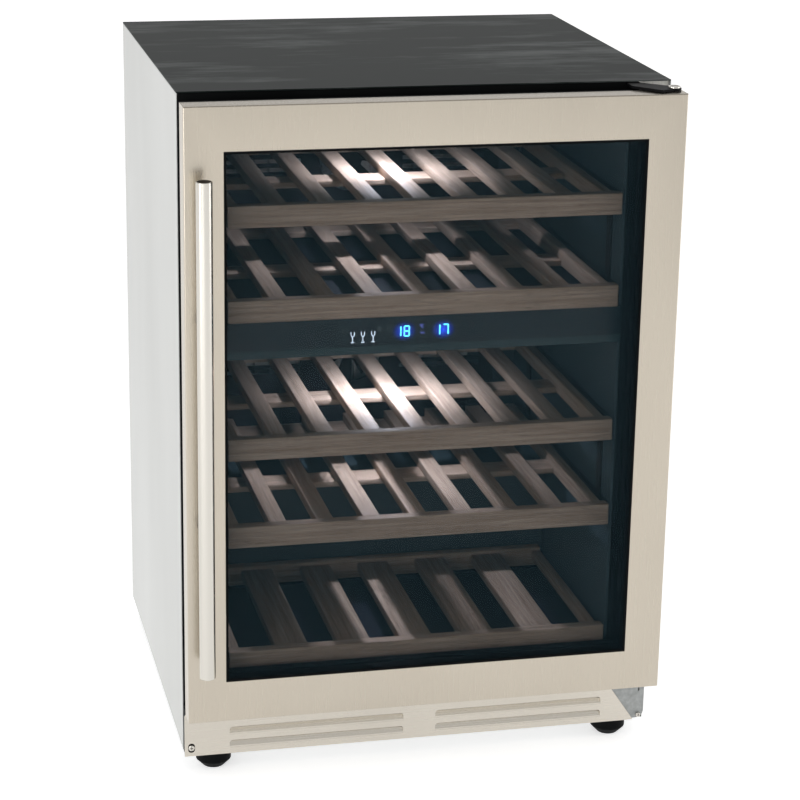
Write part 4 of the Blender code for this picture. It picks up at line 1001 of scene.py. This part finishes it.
def make_world():
    """White to the camera; to everything else a studio, bright at the horizon and dim overhead."""
    world = bpy.data.worlds.new("studio")
    world.use_nodes = True
    tree = world.node_tree
    studio = tree.nodes["Background"]
    direction = tree.nodes.new("ShaderNodeTexCoord")
    parts = tree.nodes.new("ShaderNodeSeparateXYZ")
    span = tree.nodes.new("ShaderNodeMapRange")
    span.inputs["From Min"].default_value = -1.0
    ramp = tree.nodes.new("ShaderNodeValToRGB")
    stops = ((0.00, 0.90), (0.55, 1.00), (0.66, 0.70), (0.78, 0.52), (1.00, 0.42))
    elements = ramp.color_ramp.elements
    while len(elements) < len(stops):
        elements.new(0.5)
    for element, (place, grey) in zip(elements, stops):
        element.position = place
        element.color = (grey, grey, grey, 1.0)
    tree.links.new(direction.outputs["Generated"], parts.inputs[0])
    tree.links.new(parts.outputs["Z"], span.inputs["Value"])
    tree.links.new(span.outputs[0], ramp.inputs[0])
    tree.links.new(ramp.outputs[0], studio.inputs["Color"])
    backdrop = tree.nodes.new("ShaderNodeBackground")
    backdrop.inputs["Color"].default_value = (*WHITE, 1.0)
    path = tree.nodes.new("ShaderNodeLightPath")
    mix = tree.nodes.new("ShaderNodeMixShader")
    tree.links.new(path.outputs["Is Camera Ray"], mix.inputs[0])
    tree.links.new(studio.outputs[0], mix.inputs[1])
    tree.links.new(backdrop.outputs[0], mix.inputs[2])
    tree.links.new(mix.outputs[0], tree.nodes["World Output"].inputs["Surface"])
    bpy.context.scene.world = world


def area_light(name, place, target, size, power, colour=WHITE, spread=180):
    data = bpy.data.lights.new(name, "AREA")
    data.shape = "RECTANGLE"
    data.size, data.size_y = size
    data.energy = power
    data.color = colour
    data.spread = math.radians(spread)
    light = bpy.data.objects.new(name, data)
    light.location = place
    light.rotation_mode = "QUATERNION"
    light.rotation_quaternion = (Vector(target) - Vector(place)).to_track_quat("-Z", "Y")
    bpy.context.scene.collection.objects.link(light)


def make_lights():
    """Three softboxes, and a small light under each lamp that stripes the shelves below."""
    middle = (0.0, -0.2, 0.45)
    area_light("left_softbox", (-2.8, -1.5, 0.9), middle, (1.1, 1.8), 18.0)
    area_light("right_softbox", (2.9, -0.9, 0.9), middle, (0.6, 1.8), 14.0)
    area_light("front_softbox", (-1.9, -3.2, 1.0), middle, (0.9, 1.4), 22.0)
    cool = (0.80, 0.84, 1.0)
    size = (0.014, 0.010)
    spread = 138
    for zone, x, power in (("upper", -0.011, 0.70), ("lower", -0.016, 0.84)):
        low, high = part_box("lamp_" + zone)
        place = (x, (low.y + high.y) / 2, low.z - 0.0015)
        target = (place[0], place[1] + 0.02, place[2] - 0.2)
        area_light("lamp_light_" + zone, place, target, size, power, cool, spread)


def make_camera():
    """A long lens, above and to the left, tilted and rolled as the view asks."""
    pitch = math.radians(-17.66)
    roll = math.radians(1.01)
    yaw = math.radians(-13.20)
    forward = Vector((-math.sin(yaw) * math.cos(pitch), math.cos(yaw) * math.cos(pitch), math.sin(pitch)))
    right = Vector((math.cos(yaw), math.sin(yaw), 0.0))
    up = right.cross(forward)
    side = math.cos(roll) * right + math.sin(roll) * up
    top = -math.sin(roll) * right + math.cos(roll) * up
    data = bpy.data.cameras.new("camera")
    data.sensor_width = 36.0
    data.lens = 110.66
    camera = bpy.data.objects.new("camera", data)
    turn = Matrix((side, top, -forward)).transposed().to_4x4()
    camera.matrix_world = Matrix.Translation((-0.675, -2.960, 1.369)) @ turn
    bpy.context.scene.collection.objects.link(camera)
    bpy.context.scene.camera = camera


make_floor()
make_world()
make_lights()
make_camera()
bpy.context.scene.view_settings.view_transform = "Standard"
